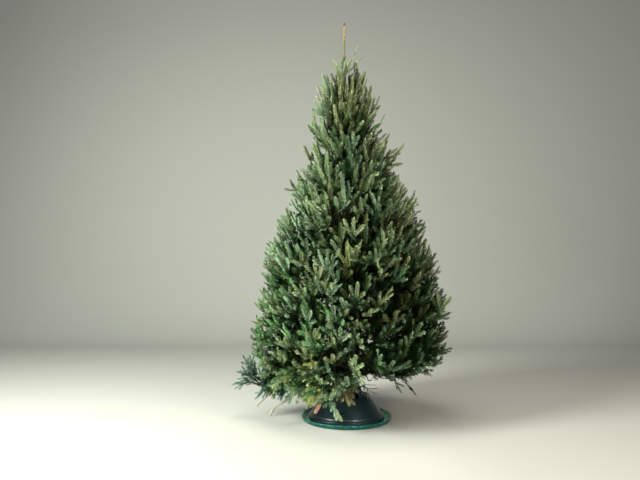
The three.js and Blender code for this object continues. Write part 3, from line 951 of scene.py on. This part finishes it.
def grow_branch(shoots, wood, label, place, form):
    reseed(place)
    spread, tone, longer, density, size, years = BRANCH_FORMS[form].values()
    heading = crown_heading(place, spread * read_off(SPREAD_BY_HEIGHT, place[2]))
    inset = 0.0 if form == "stray" or rng.random() < STRAY_SHARE else tip_inset(place)
    tip = place + heading * between(*TIP_VARIES) - outward(place) * inset
    start, start_heading = branch_start(label, tip)
    up = UP if heading[2] < STEEP else STEEP_TIPPED * UP - outward(place)
    path = branch_path(start, start_heading, tip, heading)
    length = longer * read_off(SHOOT_LENGTH, place[2]) * between(*LENGTH_VARIES)
    family = family_for(place)
    tone += rng.normal(0, BRANCH_TONE_NOISE)
    size *= read_off(SIZE_BY_HEIGHT, place[2])
    Spray(shoots, family, tone, length, density, size).branch(path, leaned(up, UP_SPREAD), years)
    wood.add(path, WOOD_LEAST + WOOD_A_METRE * np.linalg.norm(tip - start))


def within_room(points):
    return np.clip(points, cad_low - ROOM * LEVEL, cad_high + ROOM)


def add_mass(label, shoots, wood, replaced=(), shaded=True):
    """The two pieces of a mass: its needles, and its twigs with their stems."""
    points, *group = needle_mesh(shoots, shaded)
    add_piece(f"needles_{label}", within_room(points), [group], needle_materials, replaced)
    points, walls, ends, kinds = stem_mesh(shoots)
    wood_points, [quads] = joined(wood.tubes)
    groups = [(walls, kinds), (ends, kinds), (quads + len(points), np.concatenate(wood.kinds))]
    points = within_room(np.concatenate([points, wood_points]))
    add_piece(f"twigs_{label}", points, groups, twig_materials)


def grow_mass(label):
    shoots, wood = Shoots(), Wood()
    for form, places in places_by_form.items():
        for place in places[label]:
            grow_branch(shoots, wood, label, place, form)
    closing = in_sky(np.array([p1 for _, p1, *_ in shoots.rows]))
    shoots.rows = [row for row, closes in zip(shoots.rows, closing) if not closes]
    add_mass(label, shoots, wood, [f"foliage_{label}"])


# The share of the crown's reach at which each form's tips lie, up to what height, and how far apart
places_by_form = {
    "outer": spread_places((1.0, 1.0), CROWN_TOP, TIP_SPACING),
    "middle": spread_places((0.8, 0.93), 3.0, MIDDLE_SPACING),
    "inner": spread_places((0.12, 0.8), 2.9, INNER_SPACING),
    "hem": spread_places((0.25, 0.95), HEM + HEM_DEPTH, HEM_SPACING),
}
# Tips that stand out of the crown's outline
STRAY_TIPS = [(0.545, -0.05, 2.50), (0.48, -0.04, 2.40), (-0.36, 0.0, 2.70), (-0.395, 0.02, 2.50),
              (-0.25, -0.02, 3.02), (-0.52, 0.0, 2.17), (0.64, 0.04, 1.93), (0.75, 0.0, 1.62),
              (0.85, 0.0, 1.35), (0.90, 0.02, 0.98), (-0.72, 0.0, 1.46), (-0.19, -0.05, 3.11),
              (-0.13, 0.0, 3.17), (0.17, -0.03, 3.12), (0.14, 0.02, 3.19), (-0.21, -0.06, 2.95),
              (-0.02, -0.08, 3.24)]
places_by_form["stray"] = {label: [] for label in crown_labels}
for place in map(np.array, STRAY_TIPS):
    places_by_form["stray"][label_for(place)].append(place)
for crown_label in crown_labels:
    grow_mass(crown_label)


# The low bough, sparse and drooping, and the loose shoots under the hem

# The tip of each spray of the low bough, where it points, and its tone. The lower tones of the sprays nearer
# the trunk are painted shade.
LOW_SPRAYS = [
    ((-0.99, -0.05, 0.27), (-0.8, -0.2, -0.5), -0.3), ((-0.95, 0.00, 0.31), (-0.9, 0.0, -0.1), -0.7),
    ((-0.90, 0.02, 0.51), (-0.6, 0.0, 0.8), -0.2), ((-0.94, 0.04, 0.45), (-0.7, 0.1, 0.6), -0.5),
    ((-0.82, -0.03, 0.51), (0.1, -0.1, 1.0), -0.8), ((-0.84, 0.0, 0.40), (-0.6, 0.0, 0.6), -1.2),
    ((-0.76, -0.05, 0.34), (-0.7, -0.2, 0.2), -1.5), ((-0.80, 0.0, 0.30), (-0.8, 0.0, -0.3), -1.3),
    ((-0.71, 0.02, 0.40), (-0.4, 0.0, 0.8), -1.5), ((-0.68, -0.14, 0.27), (-0.6, -0.2, -0.3), -1.4),
    ((-1.02, 0.00, 0.29), (-0.9, 0.0, -0.45), 0.0), ((-0.98, 0.05, 0.34), (-0.95, 0.2, -0.2), -0.4),
    ((-0.97, -0.05, 0.42), (-0.8, -0.2, 0.3), -0.6), ((-0.93, 0.02, 0.55), (-0.45, 0.1, 0.9), 0.0),
    ((-0.86, -0.04, 0.56), (-0.1, -0.1, 1.0), -0.3), ((-0.88, 0.05, 0.47), (-0.5, 0.3, 0.8), -0.2),
    ((-0.90, -0.06, 0.36), (-0.8, -0.3, -0.3), -1.0), ((-0.79, 0.04, 0.44), (-0.3, 0.2, 0.9), -1.4),
    ((-0.81, -0.02, 0.18), (-0.7, -0.1, -0.6), 0.0), ((-0.75, 0.04, 0.17), (-0.3, 0.2, -0.9), -0.2),
    ((-0.70, -0.08, 0.24), (-0.6, -0.3, -0.6), -1.2), ((-0.60, -0.12, 0.20), (-0.4, -0.3, -0.8), -1.0),
    ((-0.66, 0.08, 0.36), (-0.6, 0.3, 0.5), -1.6),
]
# How far back from its tip a spray leaves the low bough, and the least distance from the trunk
LOW_BACK, LOW_START_LEAST = 0.2, 0.3
LOW_LEAN, LOW_UP_SPREAD, LOW_WOOD = 0.5, 0.4, 0.005
LOW_SPRAY = dict(length=0.085, density=0.85, size=0.72)
# Long thin shoots round the foot of the leader: where each starts and its tip
TOP_SHOOTS = [
    ((-0.02, 0.0, 3.20), (-0.112, 0.0, 3.316)), ((0.03, 0.0, 3.24), (0.125, 0.0, 3.434)),
    ((0.04, -0.02, 3.18), (0.172, -0.02, 3.331)), ((0.0, -0.02, 3.16), (-0.03, -0.06, 3.30)),
    ((0.02, 0.03, 3.2), (0.05, 0.10, 3.33)), ((-0.03, 0.03, 3.16), (-0.10, 0.09, 3.28)),
    ((-0.03, -0.03, 3.13), (-0.021, -0.04, 3.282)), ((0.02, -0.03, 3.15), (0.01, -0.04, 3.301)),
    ((0.03, -0.03, 3.10), (0.048, -0.05, 3.26)),
]
TOP_SHOOT = dict(family="plain", tone=0.3, density=0.75, size=0.8, stem=0.003)
TOP_BOW = 0.01
# Loose shoots under the hem: where each starts, its tip, colour family, tone and a year's length. The low
# tones of those further back and on the right are painted shade.
HANGING_SHOOTS = [
    ((-0.27, -0.46, 0.44), (-0.315, -0.62, 0.265), "yellow", 0.0, 0.08),
    ((-0.21, -0.40, 0.40), (-0.20, -0.58, 0.24), "plain", 0.0, 0.09),
    ((-0.10, -0.36, 0.40), (-0.06, -0.50, 0.27), "warm", -0.4, 0.09),
    ((-0.02, -0.34, 0.42), (0.03, -0.48, 0.29), "warm", -0.7, 0.08),
    ((-0.28, -0.40, 0.42), (-0.335, -0.52, 0.225), "plain", 0.2, 0.085),
    ((-0.24, -0.38, 0.42), (-0.28, -0.50, 0.25), "warm", 0.1, 0.08),
    ((-0.15, -0.34, 0.40), (-0.15, -0.47, 0.22), "teal", 0.1, 0.08),
    ((-0.36, -0.40, 0.42), (-0.42, -0.52, 0.26), "plain", 0.1, 0.09),
    ((-0.50, -0.26, 0.44), (-0.62, -0.34, 0.30), "plain", 0.4, 0.09),
    ((-0.44, -0.30, 0.52), (-0.52, -0.46, 0.40), "yellow", -0.2, 0.08),
    ((-0.64, -0.06, 0.40), (-0.74, -0.14, 0.27), "teal", -1.4, 0.07),
    ((-0.60, -0.14, 0.42), (-0.69, -0.22, 0.25), "cool", -1.7, 0.07),
    ((-0.56, -0.18, 0.40), (-0.63, -0.28, 0.245), "plain", -1.4, 0.065),
    ((-0.50, -0.22, 0.38), (-0.56, -0.32, 0.235), "teal", -1.2, 0.065),
    ((-0.44, -0.28, 0.38), (-0.49, -0.38, 0.225), "cool", -0.9, 0.07),
    ((0.36, -0.08, 0.42), (0.60, -0.12, 0.235), "cool", -1.7, 0.1),
    ((0.32, -0.20, 0.42), (0.44, -0.34, 0.30), "cool", -1.5, 0.09),
]
# How far across against the size of the hanging shoots' needles
HANGING_SIZE = [(0.0, 1.15), (0.3, 0.7)]
HANGING_YEARS, HANGING_DROOP, HANGING_UP_SPREAD, HANGING_WOOD = 3, 0.1, 0.3, 0.004
# Single shoots by the stand: where each starts, its tip, colour family, tone and size
SINGLE_SHOOTS = [
    ((-0.131, -0.60, 0.277), (-0.107, -0.605, 0.150), "cool", 0.3, 0.85),
    ((-0.112, -0.60, 0.225), (-0.070, -0.61, 0.140), "warm", 0.3, 0.85),
    ((-0.135, -0.60, 0.262), (-0.148, -0.60, 0.212), "cool", -0.2, 0.7),
    ((-0.190, -0.55, 0.330), (-0.155, -0.58, 0.262), "teal", 0.4, 0.9),
    ((-0.165, -0.55, 0.330), (-0.178, -0.58, 0.250), "teal", 0.0, 0.8),
    ((-0.050, -0.50, 0.365), (-0.002, -0.51, 0.235), "dry", -0.3, 0.9),
    ((-0.030, -0.50, 0.345), (0.036, -0.51, 0.243), "dry", -0.7, 0.9),
    ((-0.055, -0.50, 0.345), (-0.058, -0.51, 0.268), "dry", -0.9, 0.8),
    ((-0.020, -0.50, 0.370), (0.025, -0.50, 0.295), "dry", -1.0, 0.9),
]
SINGLE_BOW, SINGLE_DENSITY, SINGLE_STEM = -0.008, 1.1, 0.003
# Where the stem of a single shoot comes from, seen from the shoot's start
SINGLE_FROM = [(0.0, 0.12, 0.08), (0.0, 0.03, 0.05), (0.0, 0.0, 0.0)]
# Bare stems: their places in order, thickness at the start and end, and twig colour
BARE_STEMS = [
    ([(-0.58, 0.0, 0.33), (-0.70, 0.0, 0.197), (-0.76, 0.0, 0.15), (-0.80, 0.0, 0.109)], 0.006, 0.008,
     BARE_TWIG),
    ([(-0.42, -0.26, 0.30), (-0.528, -0.3, 0.21), (-0.612, -0.3, 0.177), (-0.653, -0.3, 0.104)], 0.007, 0.012,
     BARE_TWIG),
    # These stems under the hem at the right take the painted-shade twig colour
    ([(0.06, -0.2, 0.40), (0.143, -0.3, 0.325), (0.20, -0.31, 0.318), (0.252, -0.3, 0.325)], 0.004, 0.002,
     PAINTED_SHADE_TWIG),
    ([(0.143, -0.3, 0.325), (0.19, -0.32, 0.30), (0.24, -0.34, 0.285)], 0.003, 0.0015, PAINTED_SHADE_TWIG),
    ([(0.10, -0.24, 0.36), (0.17, -0.30, 0.35), (0.235, -0.33, 0.355)], 0.003, 0.0015, PAINTED_SHADE_TWIG),
]


def from_rows(rows):
    """The rows of a table that begin with two places or headings, with these as arrays."""
    return [(np.array(first), np.array(second), *rest) for first, second, *rest in rows]


def grow_low_bough():
    shoots, wood = Shoots(), Wood()
    limb = limbs["low"]
    for tip, heading, tone in from_rows(LOW_SPRAYS):
        start = limb.at(np.clip((tip - limb.root) @ limb.heading - LOW_BACK, LOW_START_LEAST, limb.bare))
        path = branch_path(start, unit(limb.heading + LOW_LEAN * unit(tip - start)), tip, unit(heading))
        Spray(shoots, "teal", tone, **LOW_SPRAY).branch(path, leaned(UP, LOW_UP_SPREAD), 2)
        wood.add(path, LOW_WOOD)
    add_mass("low", shoots, wood, ["foliage_low"], shaded=False)


def grow_loose_shoots():
    shoots, wood = Shoots(), Wood()
    for start, tip in from_rows(TOP_SHOOTS):
        shoots.add(start, (start + tip) / 2 + TOP_BOW * UP, tip, unit(UP - start * LEVEL), **TOP_SHOOT)
    for start, tip, family, tone, length in from_rows(HANGING_SHOOTS):
        path = branch_path(start, outward(tip), tip, unit(tip - start - HANGING_DROOP * UP))
        spray = Spray(shoots, family, tone, length, 1.0, read_off(HANGING_SIZE, tip[0]))
        spray.branch(path, leaned(outward(tip), HANGING_UP_SPREAD), HANGING_YEARS)
        wood.add(path, HANGING_WOOD)
    for start, tip, family, tone, size in from_rows(SINGLE_SHOOTS):
        middle = (start + tip) / 2 + SINGLE_BOW * UP
        shoots.add(start, middle, tip, outward(tip), family, tone, SINGLE_DENSITY, size, SINGLE_STEM)
        wood.add(smooth_path(start + SINGLE_FROM), SINGLE_STEM)
    for bends, thick, thin, kind in BARE_STEMS:
        wood.add(smooth_path(bends), thick, thin, kind, sides=8)
    add_mass("loose", shoots, wood, shaded=False)


grow_low_bough()
grow_loose_shoots()


# The trunk and its leader

TRUNK_SIDES = 40
TRUNK_TOP = 3.66
# Where the rings lie: closer together at the foot and on the leader, where the trunk shows
TRUNK_RINGS = [(0.033, 0.9, 150), (0.9, 3.28, 120), (3.28, TRUNK_TOP, 110)]
# The bark's ridges: their depth as a share of the radius, their number round and for each metre, and a seed
RIDGES = [(0.05, 12, 9, 11), (0.03, 34, 60, 12)]
# The finishes from the foot up. Below these heights the bark is old, then green, and above them it is young.
TRUNK_FINISHES = ["bark", "green_bark", "young_bark", "bud"]
OLD, YOUNG, BUD = 0, 2, 3
BARK_AGES = [3.3, 3.485]
# How far out, high and wide a swelling is: a limb's collar, which sits a little above its line, and a knot
COLLAR, COLLAR_ABOVE, KNOT = (0.008, 0.035, 0.5), 0.03, (0.0036, 0.007, 0.9)
# Height and azimuth of each knot
LEADER_KNOTS = [(3.587, 0.6), (3.564, 2.9), (3.477, 4.4), (3.42, 1.7), (3.365, 3.6)]
# Height, azimuth and length of each side bud, then how far out and how steep they are, and their radius
BUDS = [(3.337, 2.6, 0.02), (3.317, 5.3, 0.022), (3.30, 0.9, 0.02), (3.31, 4.1, 0.018)]
BUD_OUT, BUD_RISE_DEG, BUD_RADIUS = 0.006, 48, 0.0065
# The bud at the top, and the four round it
TOP_BUD_HEIGHT, TOP_BUD_LENGTH = 3.648, 0.026
ROUND_BUDS, ROUND_BUD_TURN, ROUND_BUD_DOWN, ROUND_BUD_RISE_DEG = 4, 1.4, 0.004, 52
ROUND_BUD_SIZE = (0.018, 0.0055)
# A bud's outline: the part of a half sine, how full it is and the least radius, and its rings and sides
BUD_SINE, BUD_POWER, BUD_LEAST = (0.12, 0.97), 0.7, 0.0002
BUD_RINGS, BUD_SIDES = 7, 8


def swelling(turn, z, azimuth, height, out, high, wide):
    return out * np.exp(-((z - height) / high) ** 2 - (turn_from(azimuth, turn) / wide) ** 2)


def trunk_swellings(turn, z):
    """The collar where each limb leaves the trunk, and the knots of the leader, in metres."""
    places = [(math.atan2(limb.heading[1], limb.heading[0]), limb.root[2] + COLLAR_ABOVE, *COLLAR)
              for limb in limbs.values()]
    places += [(azimuth, height, *KNOT) for height, azimuth in LEADER_KNOTS]
    return sum(swelling(turn, z, *place) for place in places)


def bud(foot, heading, length, radius):
    """A closed bud, pointed at its end."""
    share = np.linspace(0.0, 1.0, BUD_RINGS)
    radii = radius * np.sin(np.pi * np.clip(share, *BUD_SINE)) ** BUD_POWER + BUD_LEAST
    return tube(foot + np.outer(share * length, heading), radii, BUD_SIDES)


def add_trunk():
    heights = np.concatenate([np.linspace(low, high, count, endpoint=high == TRUNK_TOP)
                              for low, high, count in TRUNK_RINGS])
    turn = np.tile(ring_turns(TRUNK_SIDES), len(heights))
    z = np.repeat(heights, TRUNK_SIDES)
    ridges = sum(deep * wrinkles(turn, z, *kind) for deep, *kind in RIDGES)
    radius = trunk_radius(z) * (1 + ridges) + trunk_swellings(turn, z)
    points = trunk_axis(z) + np.stack([radius * np.cos(turn), radius * np.sin(turn), 0 * z], axis=1)
    buds = []
    for height, azimuth, length in BUDS:
        foot = trunk_axis(height) + radial(azimuth) * BUD_OUT
        buds.append(bud(foot, radial(azimuth, BUD_RISE_DEG), length, BUD_RADIUS))
    top = trunk_axis(TOP_BUD_HEIGHT)
    buds.append(bud(top, UP, TOP_BUD_LENGTH, BUD_RADIUS))
    for k in range(ROUND_BUDS):
        heading = radial(k * ROUND_BUD_TURN, ROUND_BUD_RISE_DEG)
        buds.append(bud(top - UP * ROUND_BUD_DOWN, heading, *ROUND_BUD_SIZE))
    bud_points, [bud_quads] = joined(buds)
    groups = [
        (grid_faces(len(heights), TRUNK_SIDES), np.searchsorted(BARK_AGES, z[:-TRUNK_SIDES])),
        (end_caps(len(points), TRUNK_SIDES), np.array([OLD, YOUNG])),
        (bud_quads + len(points), BUD),
    ]
    points = np.concatenate([points, bud_points])
    materials = [finishes[name] for name in TRUNK_FINISHES]
    add_piece("trunk_bark", points, groups, materials, ["trunk"], smooth=True)


add_trunk()


# The strip of dead wood that hangs by the stand

DEAD_WOOD = [(-0.19, -0.27, 0.36), (-0.225, -0.30, 0.215), (-0.25, -0.305, 0.165), (-0.277, -0.31, 0.12)]
# Half its width by its share of the way down, how thick it is against that, and its sides
DEAD_WOOD_RADII = [(0, 0.004), (0.3, 0.01), (0.6, 0.016), (0.93, 0.014), (1, 0.003)]
DEAD_WOOD_FLAT, DEAD_WOOD_SIDES = 0.18, 12


def add_dead_wood():
    path = smooth_path(DEAD_WOOD)
    radii = read_off(DEAD_WOOD_RADII, np.linspace(0, 1, len(path)))
    points, quads = tube(path, radii, DEAD_WOOD_SIDES, DEAD_WOOD_FLAT)
    groups = [(quads, 0), (end_caps(len(points), DEAD_WOOD_SIDES), 0)]
    add_piece("dead_wood", points, groups, [finishes["dead_wood"]], smooth=True)


add_dead_wood()


# The stand. Its sizes are those of the CAD solids, in metres.

LATHE_STEPS = 160
SKIRT_FOOT = 0.0043
WELL_FLOOR = 0.0327
SKIRT_PROFILE = [
    (0, 0.0277), (0.109, 0.0277), (0.133, 0.179), (0.186, 0.203), (0.318, 0.043), (0.331, 0.038),
    (0.331, SKIRT_FOOT), (0.336, SKIRT_FOOT), (0.336, 0.042), (0.333, 0.0455), (0.322, 0.048),
    (0.3165, 0.0525), (0.3145, 0.0645), (0.308, 0.070), (0.2, 0.212), (0.192, 0.216), (0.184, 0.212),
    (0.128, 0.184), (0.104, WELL_FLOOR), (0, WELL_FLOOR),
]
TRAY_PROFILE = [
    (0, 0), (0.352, 0), (0.389, 0.006), (0.3995, 0.023), (0.4035, 0.034), (0.4022, 0.0395), (0.3925, 0.036),
    (0.377, 0.013), (0.351, 0.004), (0, 0.004),
]
SKIRT_EDGE, TRAY_EDGE = 0.004, 0.003
# A rounded corner's points, and the most of a side that it takes
CORNER_STEPS, CORNER_MOST = 4, 0.45
# Where the tray's lip starts and ends. It waves up by metres and out by a share of its radius: how far, how
# often round, rows and seed.
LIP_START, LIP_END = 0.37, 0.4
LIP_RISES, LIP_BULGES = (0.0016, 11, 1, 21), (0.004, 9, 1, 22)
# The side of the tray that is pale, with scuffs and painted light, in the photograph its left
SCUFFS_AND_PAINTED_LIGHT_DEG = (150, 262)
POST_AZIMUTHS = [math.radians(a) for a in (45, 135, 225, 315)]
POST_WIDTH, POST_THICK = 0.052, 0.015
POST_FOOT, POST_HEAD = np.array([0.196, 0.0, 0.196]), np.array([0.152, 0.0, 0.302])
# A post's width at its head and where that begins, as shares, how much wider its foot is and how deep in
HEAD_SHARE, SHOULDER_SHARE, FOOT_FLARE, FOOT_SUNK, ARC_STEPS = 0.72, 0.72, 0.007, 0.01, 17
POST_BEVEL, BEVEL_STEPS = 0.0025, 3
# From and to what distance from the axis the bosses round a bolt reach, their radius and their chamfer
BOSSES, BOSS_RADIUS, BOSS_CHAMFER = [(0.176, 0.186), (0.148, 0.161)], 0.0145, 0.001
BAR_SIDES = 24
BOLT_HEIGHT, BOLT_RADIUS, BOLT_END = 0.25, 0.0065, 0.246
# How far the rod runs into the trunk and ends inside its head
ROD_SUNK, ROD_SHORT = 0.003, 0.008
THREAD_PITCH, THREAD_DEPTH, THREAD_STEPS = 0.004, 0.0008, 6
# The head's outline along the bolt
HEAD_REACHES, HEAD_RADII = [-0.009, -0.0075, 0.0075, 0.009], [0.0095, 0.011, 0.011, 0.0095]
HANDLE_LENGTH, HANDLE_RADIUS = 0.082, 0.005
# The angles of the handle's rounded end
HANDLE_BEND = np.linspace(0.3, math.pi / 2, 5)
SHARP_EDGE_DEG, SHARP_THREAD_DEG = 40, 35


def rounded(corners, radius):
    """A line whose corners are rounded, and whose ends stay."""
    corners = np.array(corners, float)
    line = [corners[:1]]
    for before, corner, after in zip(corners, corners[1:], corners[2:]):
        first, last = (corner + (end - corner) * min(radius / np.linalg.norm(end - corner), CORNER_MOST)
                       for end in (before, after))
        line.append(bezier(first, corner, last, np.linspace(0, 1, CORNER_STEPS)))
    return np.concatenate([*line, corners[-1:]])


def lathe(profile):
    """A profile of radius and height, from the axis out along the underside and back, turned round it."""
    steps = LATHE_STEPS
    turn = ring_turns(steps)
    radii, heights = profile[1:-1].T
    rings = np.stack([np.outer(radii, np.cos(turn)), np.outer(radii, np.sin(turn)),
                      np.outer(heights, np.ones(steps))], axis=-1).reshape(-1, 3)
    points = np.concatenate([rings, [(0, 0, profile[0][1]), (0, 0, profile[-1][1])]])
    around = np.arange(steps)
    after = (around + 1) % steps
    last = len(rings) - steps
    under = np.stack([np.full(steps, len(rings)), after, around], axis=1)
    over = np.stack([last + around, last + after, np.full(steps, len(rings) + 1)], axis=1)
    return points, grid_faces(len(radii), steps), np.concatenate([under, over])


def turned(points, azimuth):
    c, s = math.cos(azimuth), math.sin(azimuth)
    return points @ np.array([[c, s, 0], [-s, c, 0], [0, 0, 1]])


def post_mesh():
    """A leaning plate with a round head, its edges bevelled, on the side of azimuth 0."""
    rise = POST_HEAD - POST_FOOT
    length = np.linalg.norm(rise)
    along = rise / length
    facing = np.array([along[2], 0.0, -along[0]])
    head = POST_WIDTH / 2 * HEAD_SHARE
    foot = POST_WIDTH / 2 + FOOT_FLARE
    shoulder = SHOULDER_SHARE * length
    turns = np.linspace(0, math.pi, ARC_STEPS)
    arc = [(-head * math.cos(turn), length - head + head * math.sin(turn)) for turn in turns]
    outline = [(-foot, -FOOT_SUNK), (-head, shoulder), *arc[1:-1], (head, shoulder), (foot, -FOOT_SUNK)]
    front = [POST_FOOT + np.array([0.0, u, 0.0]) + along * v for u, v in outline]
    mesh = bmesh.new()
    loops = [[mesh.verts.new(p - facing * depth) for p in front] for depth in (0.0, POST_THICK)]
    mesh.faces.new(loops[0][::-1])
    mesh.faces.new(loops[1])
    for k in range(len(front)):
        nxt = (k + 1) % len(front)
        mesh.faces.new([loops[0][k], loops[0][nxt], loops[1][nxt], loops[1][k]])
    bmesh.ops.recalc_face_normals(mesh, faces=mesh.faces)
    edges = mesh.edges[:]
    bmesh.ops.bevel(mesh, geom=edges, offset=POST_BEVEL, segments=BEVEL_STEPS, profile=0.5, affect="EDGES")
    mesh.verts.index_update()
    points = np.array([v.co for v in mesh.verts])
    faces = np.array([[loop.vert.index for loop in corners] for corners in mesh.calc_loop_triangles()])
    mesh.free()
    return points, faces


def bar_mesh(reaches, radii, height):
    """A round bar along azimuth 0 as points, quads and end faces, with one radius or more for each reach."""
    turn = ring_turns(BAR_SIDES)
    radii = np.broadcast_to(np.reshape(radii, (len(reaches), -1)), (len(reaches), BAR_SIDES))
    points = np.stack([np.repeat(reaches, BAR_SIDES), (radii * np.cos(turn)).ravel(),
                       height + (radii * np.sin(turn)).ravel()], axis=1)
    return points, grid_faces(len(reaches), BAR_SIDES), end_caps(len(points), BAR_SIDES)


def add_skirt():
    parts = [lathe(rounded(SKIRT_PROFILE, SKIRT_EDGE))]
    plate, plate_faces = post_mesh()
    boss_radii = [BOSS_RADIUS, BOSS_RADIUS, BOSS_RADIUS - BOSS_CHAMFER]
    bosses = [bar_mesh([low, high - BOSS_CHAMFER, high], boss_radii, BOLT_HEIGHT) for low, high in BOSSES]
    for azimuth in POST_AZIMUTHS:
        parts += [(turned(points, azimuth), *faces) for points, *faces in [(plate, plate_faces), *bosses]]
    points, arrays = joined(parts)
    groups = [(faces, 0) for faces in arrays]
    piece = add_piece("skirt_and_posts", points, groups, [finishes["stand_plastic"]],
                      ["stand_skirt"], smooth=True)
    piece.data.set_sharp_from_angle(angle=math.radians(SHARP_EDGE_DEG))


def add_tray():
    points, quads, fans = lathe(rounded(TRAY_PROFILE, TRAY_EDGE))
    turn = np.arctan2(points[:, 1], points[:, 0])
    lip = np.clip((np.hypot(points[:, 0], points[:, 1]) - LIP_START) / (LIP_END - LIP_START), 0, 1)
    rises, bulges = (wave * lip * wrinkles(turn, 0 * turn, *kind) for wave, *kind in (LIP_RISES, LIP_BULGES))
    points[:, 2] += rises
    points[:, :2] *= (1 + bulges)[:, None]
    first_inside = points[:-2:LATHE_STEPS, 2].argmax() - 1
    inside = np.repeat(np.arange(len(quads) // LATHE_STEPS) >= first_inside, LATHE_STEPS)
    # The inside takes the paler plastic and one side the palest: dust and scuffs, with painted light and
    # painted highlights
    quad_turn = np.degrees(turn[quads[:, 0]]) % 360
    scuffs_and_painted_light = (quad_turn > SCUFFS_AND_PAINTED_LIGHT_DEG[0]) & (quad_turn < SCUFFS_AND_PAINTED_LIGHT_DEG[1])
    groups = [(quads, inside * (1 + scuffs_and_painted_light)), (fans, np.repeat([0, 1], LATHE_STEPS))]
    materials = [finishes[f"{kind}tray_plastic"] for kind in ("", "dust_and_painted_light_", "scuffs_and_painted_light_")]
    add_piece("tray_moulding", points, groups, materials, ["stand_tray"], smooth=True)


def bolt_mesh():
    """A threaded rod, a round head and a cross handle, each as points, quads and end faces."""
    inner = trunk_radius(BOLT_HEIGHT) - ROD_SUNK
    reaches = np.arange(inner, BOLT_END - ROD_SHORT, THREAD_PITCH / THREAD_STEPS)
    phase = (reaches[:, None] / THREAD_PITCH - ring_turns(BAR_SIDES) / (2 * math.pi)) % 1
    rod = bar_mesh(reaches, BOLT_RADIUS - THREAD_DEPTH * (1 - np.abs(2 * phase - 1)), BOLT_HEIGHT)
    head = bar_mesh(BOLT_END + np.array(HEAD_REACHES), HEAD_RADII, BOLT_HEIGHT)
    out = HANDLE_LENGTH / 2 - HANDLE_RADIUS * (1 - np.cos(HANDLE_BEND[::-1]))
    radii = HANDLE_RADIUS * np.sin(np.concatenate([HANDLE_BEND, HANDLE_BEND[::-1]]))
    handle, *faces = bar_mesh(np.concatenate([-out[::-1], out]), radii, 0.0)
    x, y, z = handle.T
    return [rod, head, (np.stack([BOLT_END - z, y, BOLT_HEIGHT + x], axis=1), *faces)]


def add_bolts():
    points, arrays = joined(bolt_mesh())
    for i, azimuth in enumerate(POST_AZIMUTHS):
        piece = add_piece(f"clamp_bolt_{i + 1}", turned(points, azimuth), [(faces, 0) for faces in arrays],
                          [finishes["steel"]], [f"stand_bolt_{i + 1}"], smooth=True)
        piece.data.set_sharp_from_angle(angle=math.radians(SHARP_THREAD_DEG))


add_skirt()
add_tray()
add_bolts()


# The boughs, with the relief of their bark

BOUGH_SIDES, BOUGH_STEPS = 12, 26
# They end at this depth in the crown, found within so many times their bare length, and the low one beyond it
BOUGH_DEPTH, BOUGH_SEARCH, LOW_BOUGH_SHARE = 0.16, 1.9, 1.1
BOUGH_TIP = 0.006
# The ridges' depth as a share of the radius, their number round and for each metre, and their seed
BOUGH_RIDGES = (0.12, 8, 30, 7)


def add_boughs():
    parts = []
    deep, *kind = BOUGH_RIDGES
    for label, limb in limbs.items():
        distance = np.linspace(0.0, limb.bare * BOUGH_SEARCH, BOUGH_STEPS)
        covered = distance[crown.depth(limb.at(distance)) > BOUGH_DEPTH].max()
        distance = np.linspace(0.0, limb.bare * LOW_BOUGH_SHARE if label == "low" else covered, BOUGH_STEPS)
        points, quads = tube(limb.at(distance), np.ones(BOUGH_STEPS), BOUGH_SIDES)
        middle = np.repeat(limb.at(distance), BOUGH_SIDES, axis=0)
        radii = np.repeat(np.linspace(limb.thickness, BOUGH_TIP, BOUGH_STEPS), BOUGH_SIDES)
        turn = np.tile(ring_turns(BOUGH_SIDES), BOUGH_STEPS)
        relief = 1 + deep * wrinkles(turn, np.repeat(distance, BOUGH_SIDES), *kind)
        parts.append((middle + (points - middle) * (radii * relief)[:, None], quads))
    points, [quads] = joined(parts)
    replaced = [f"bough_{label}" for label in limbs]
    add_piece("boughs", points, [(quads, 0)], [finishes["bark"]], replaced, smooth=True)


add_boughs()
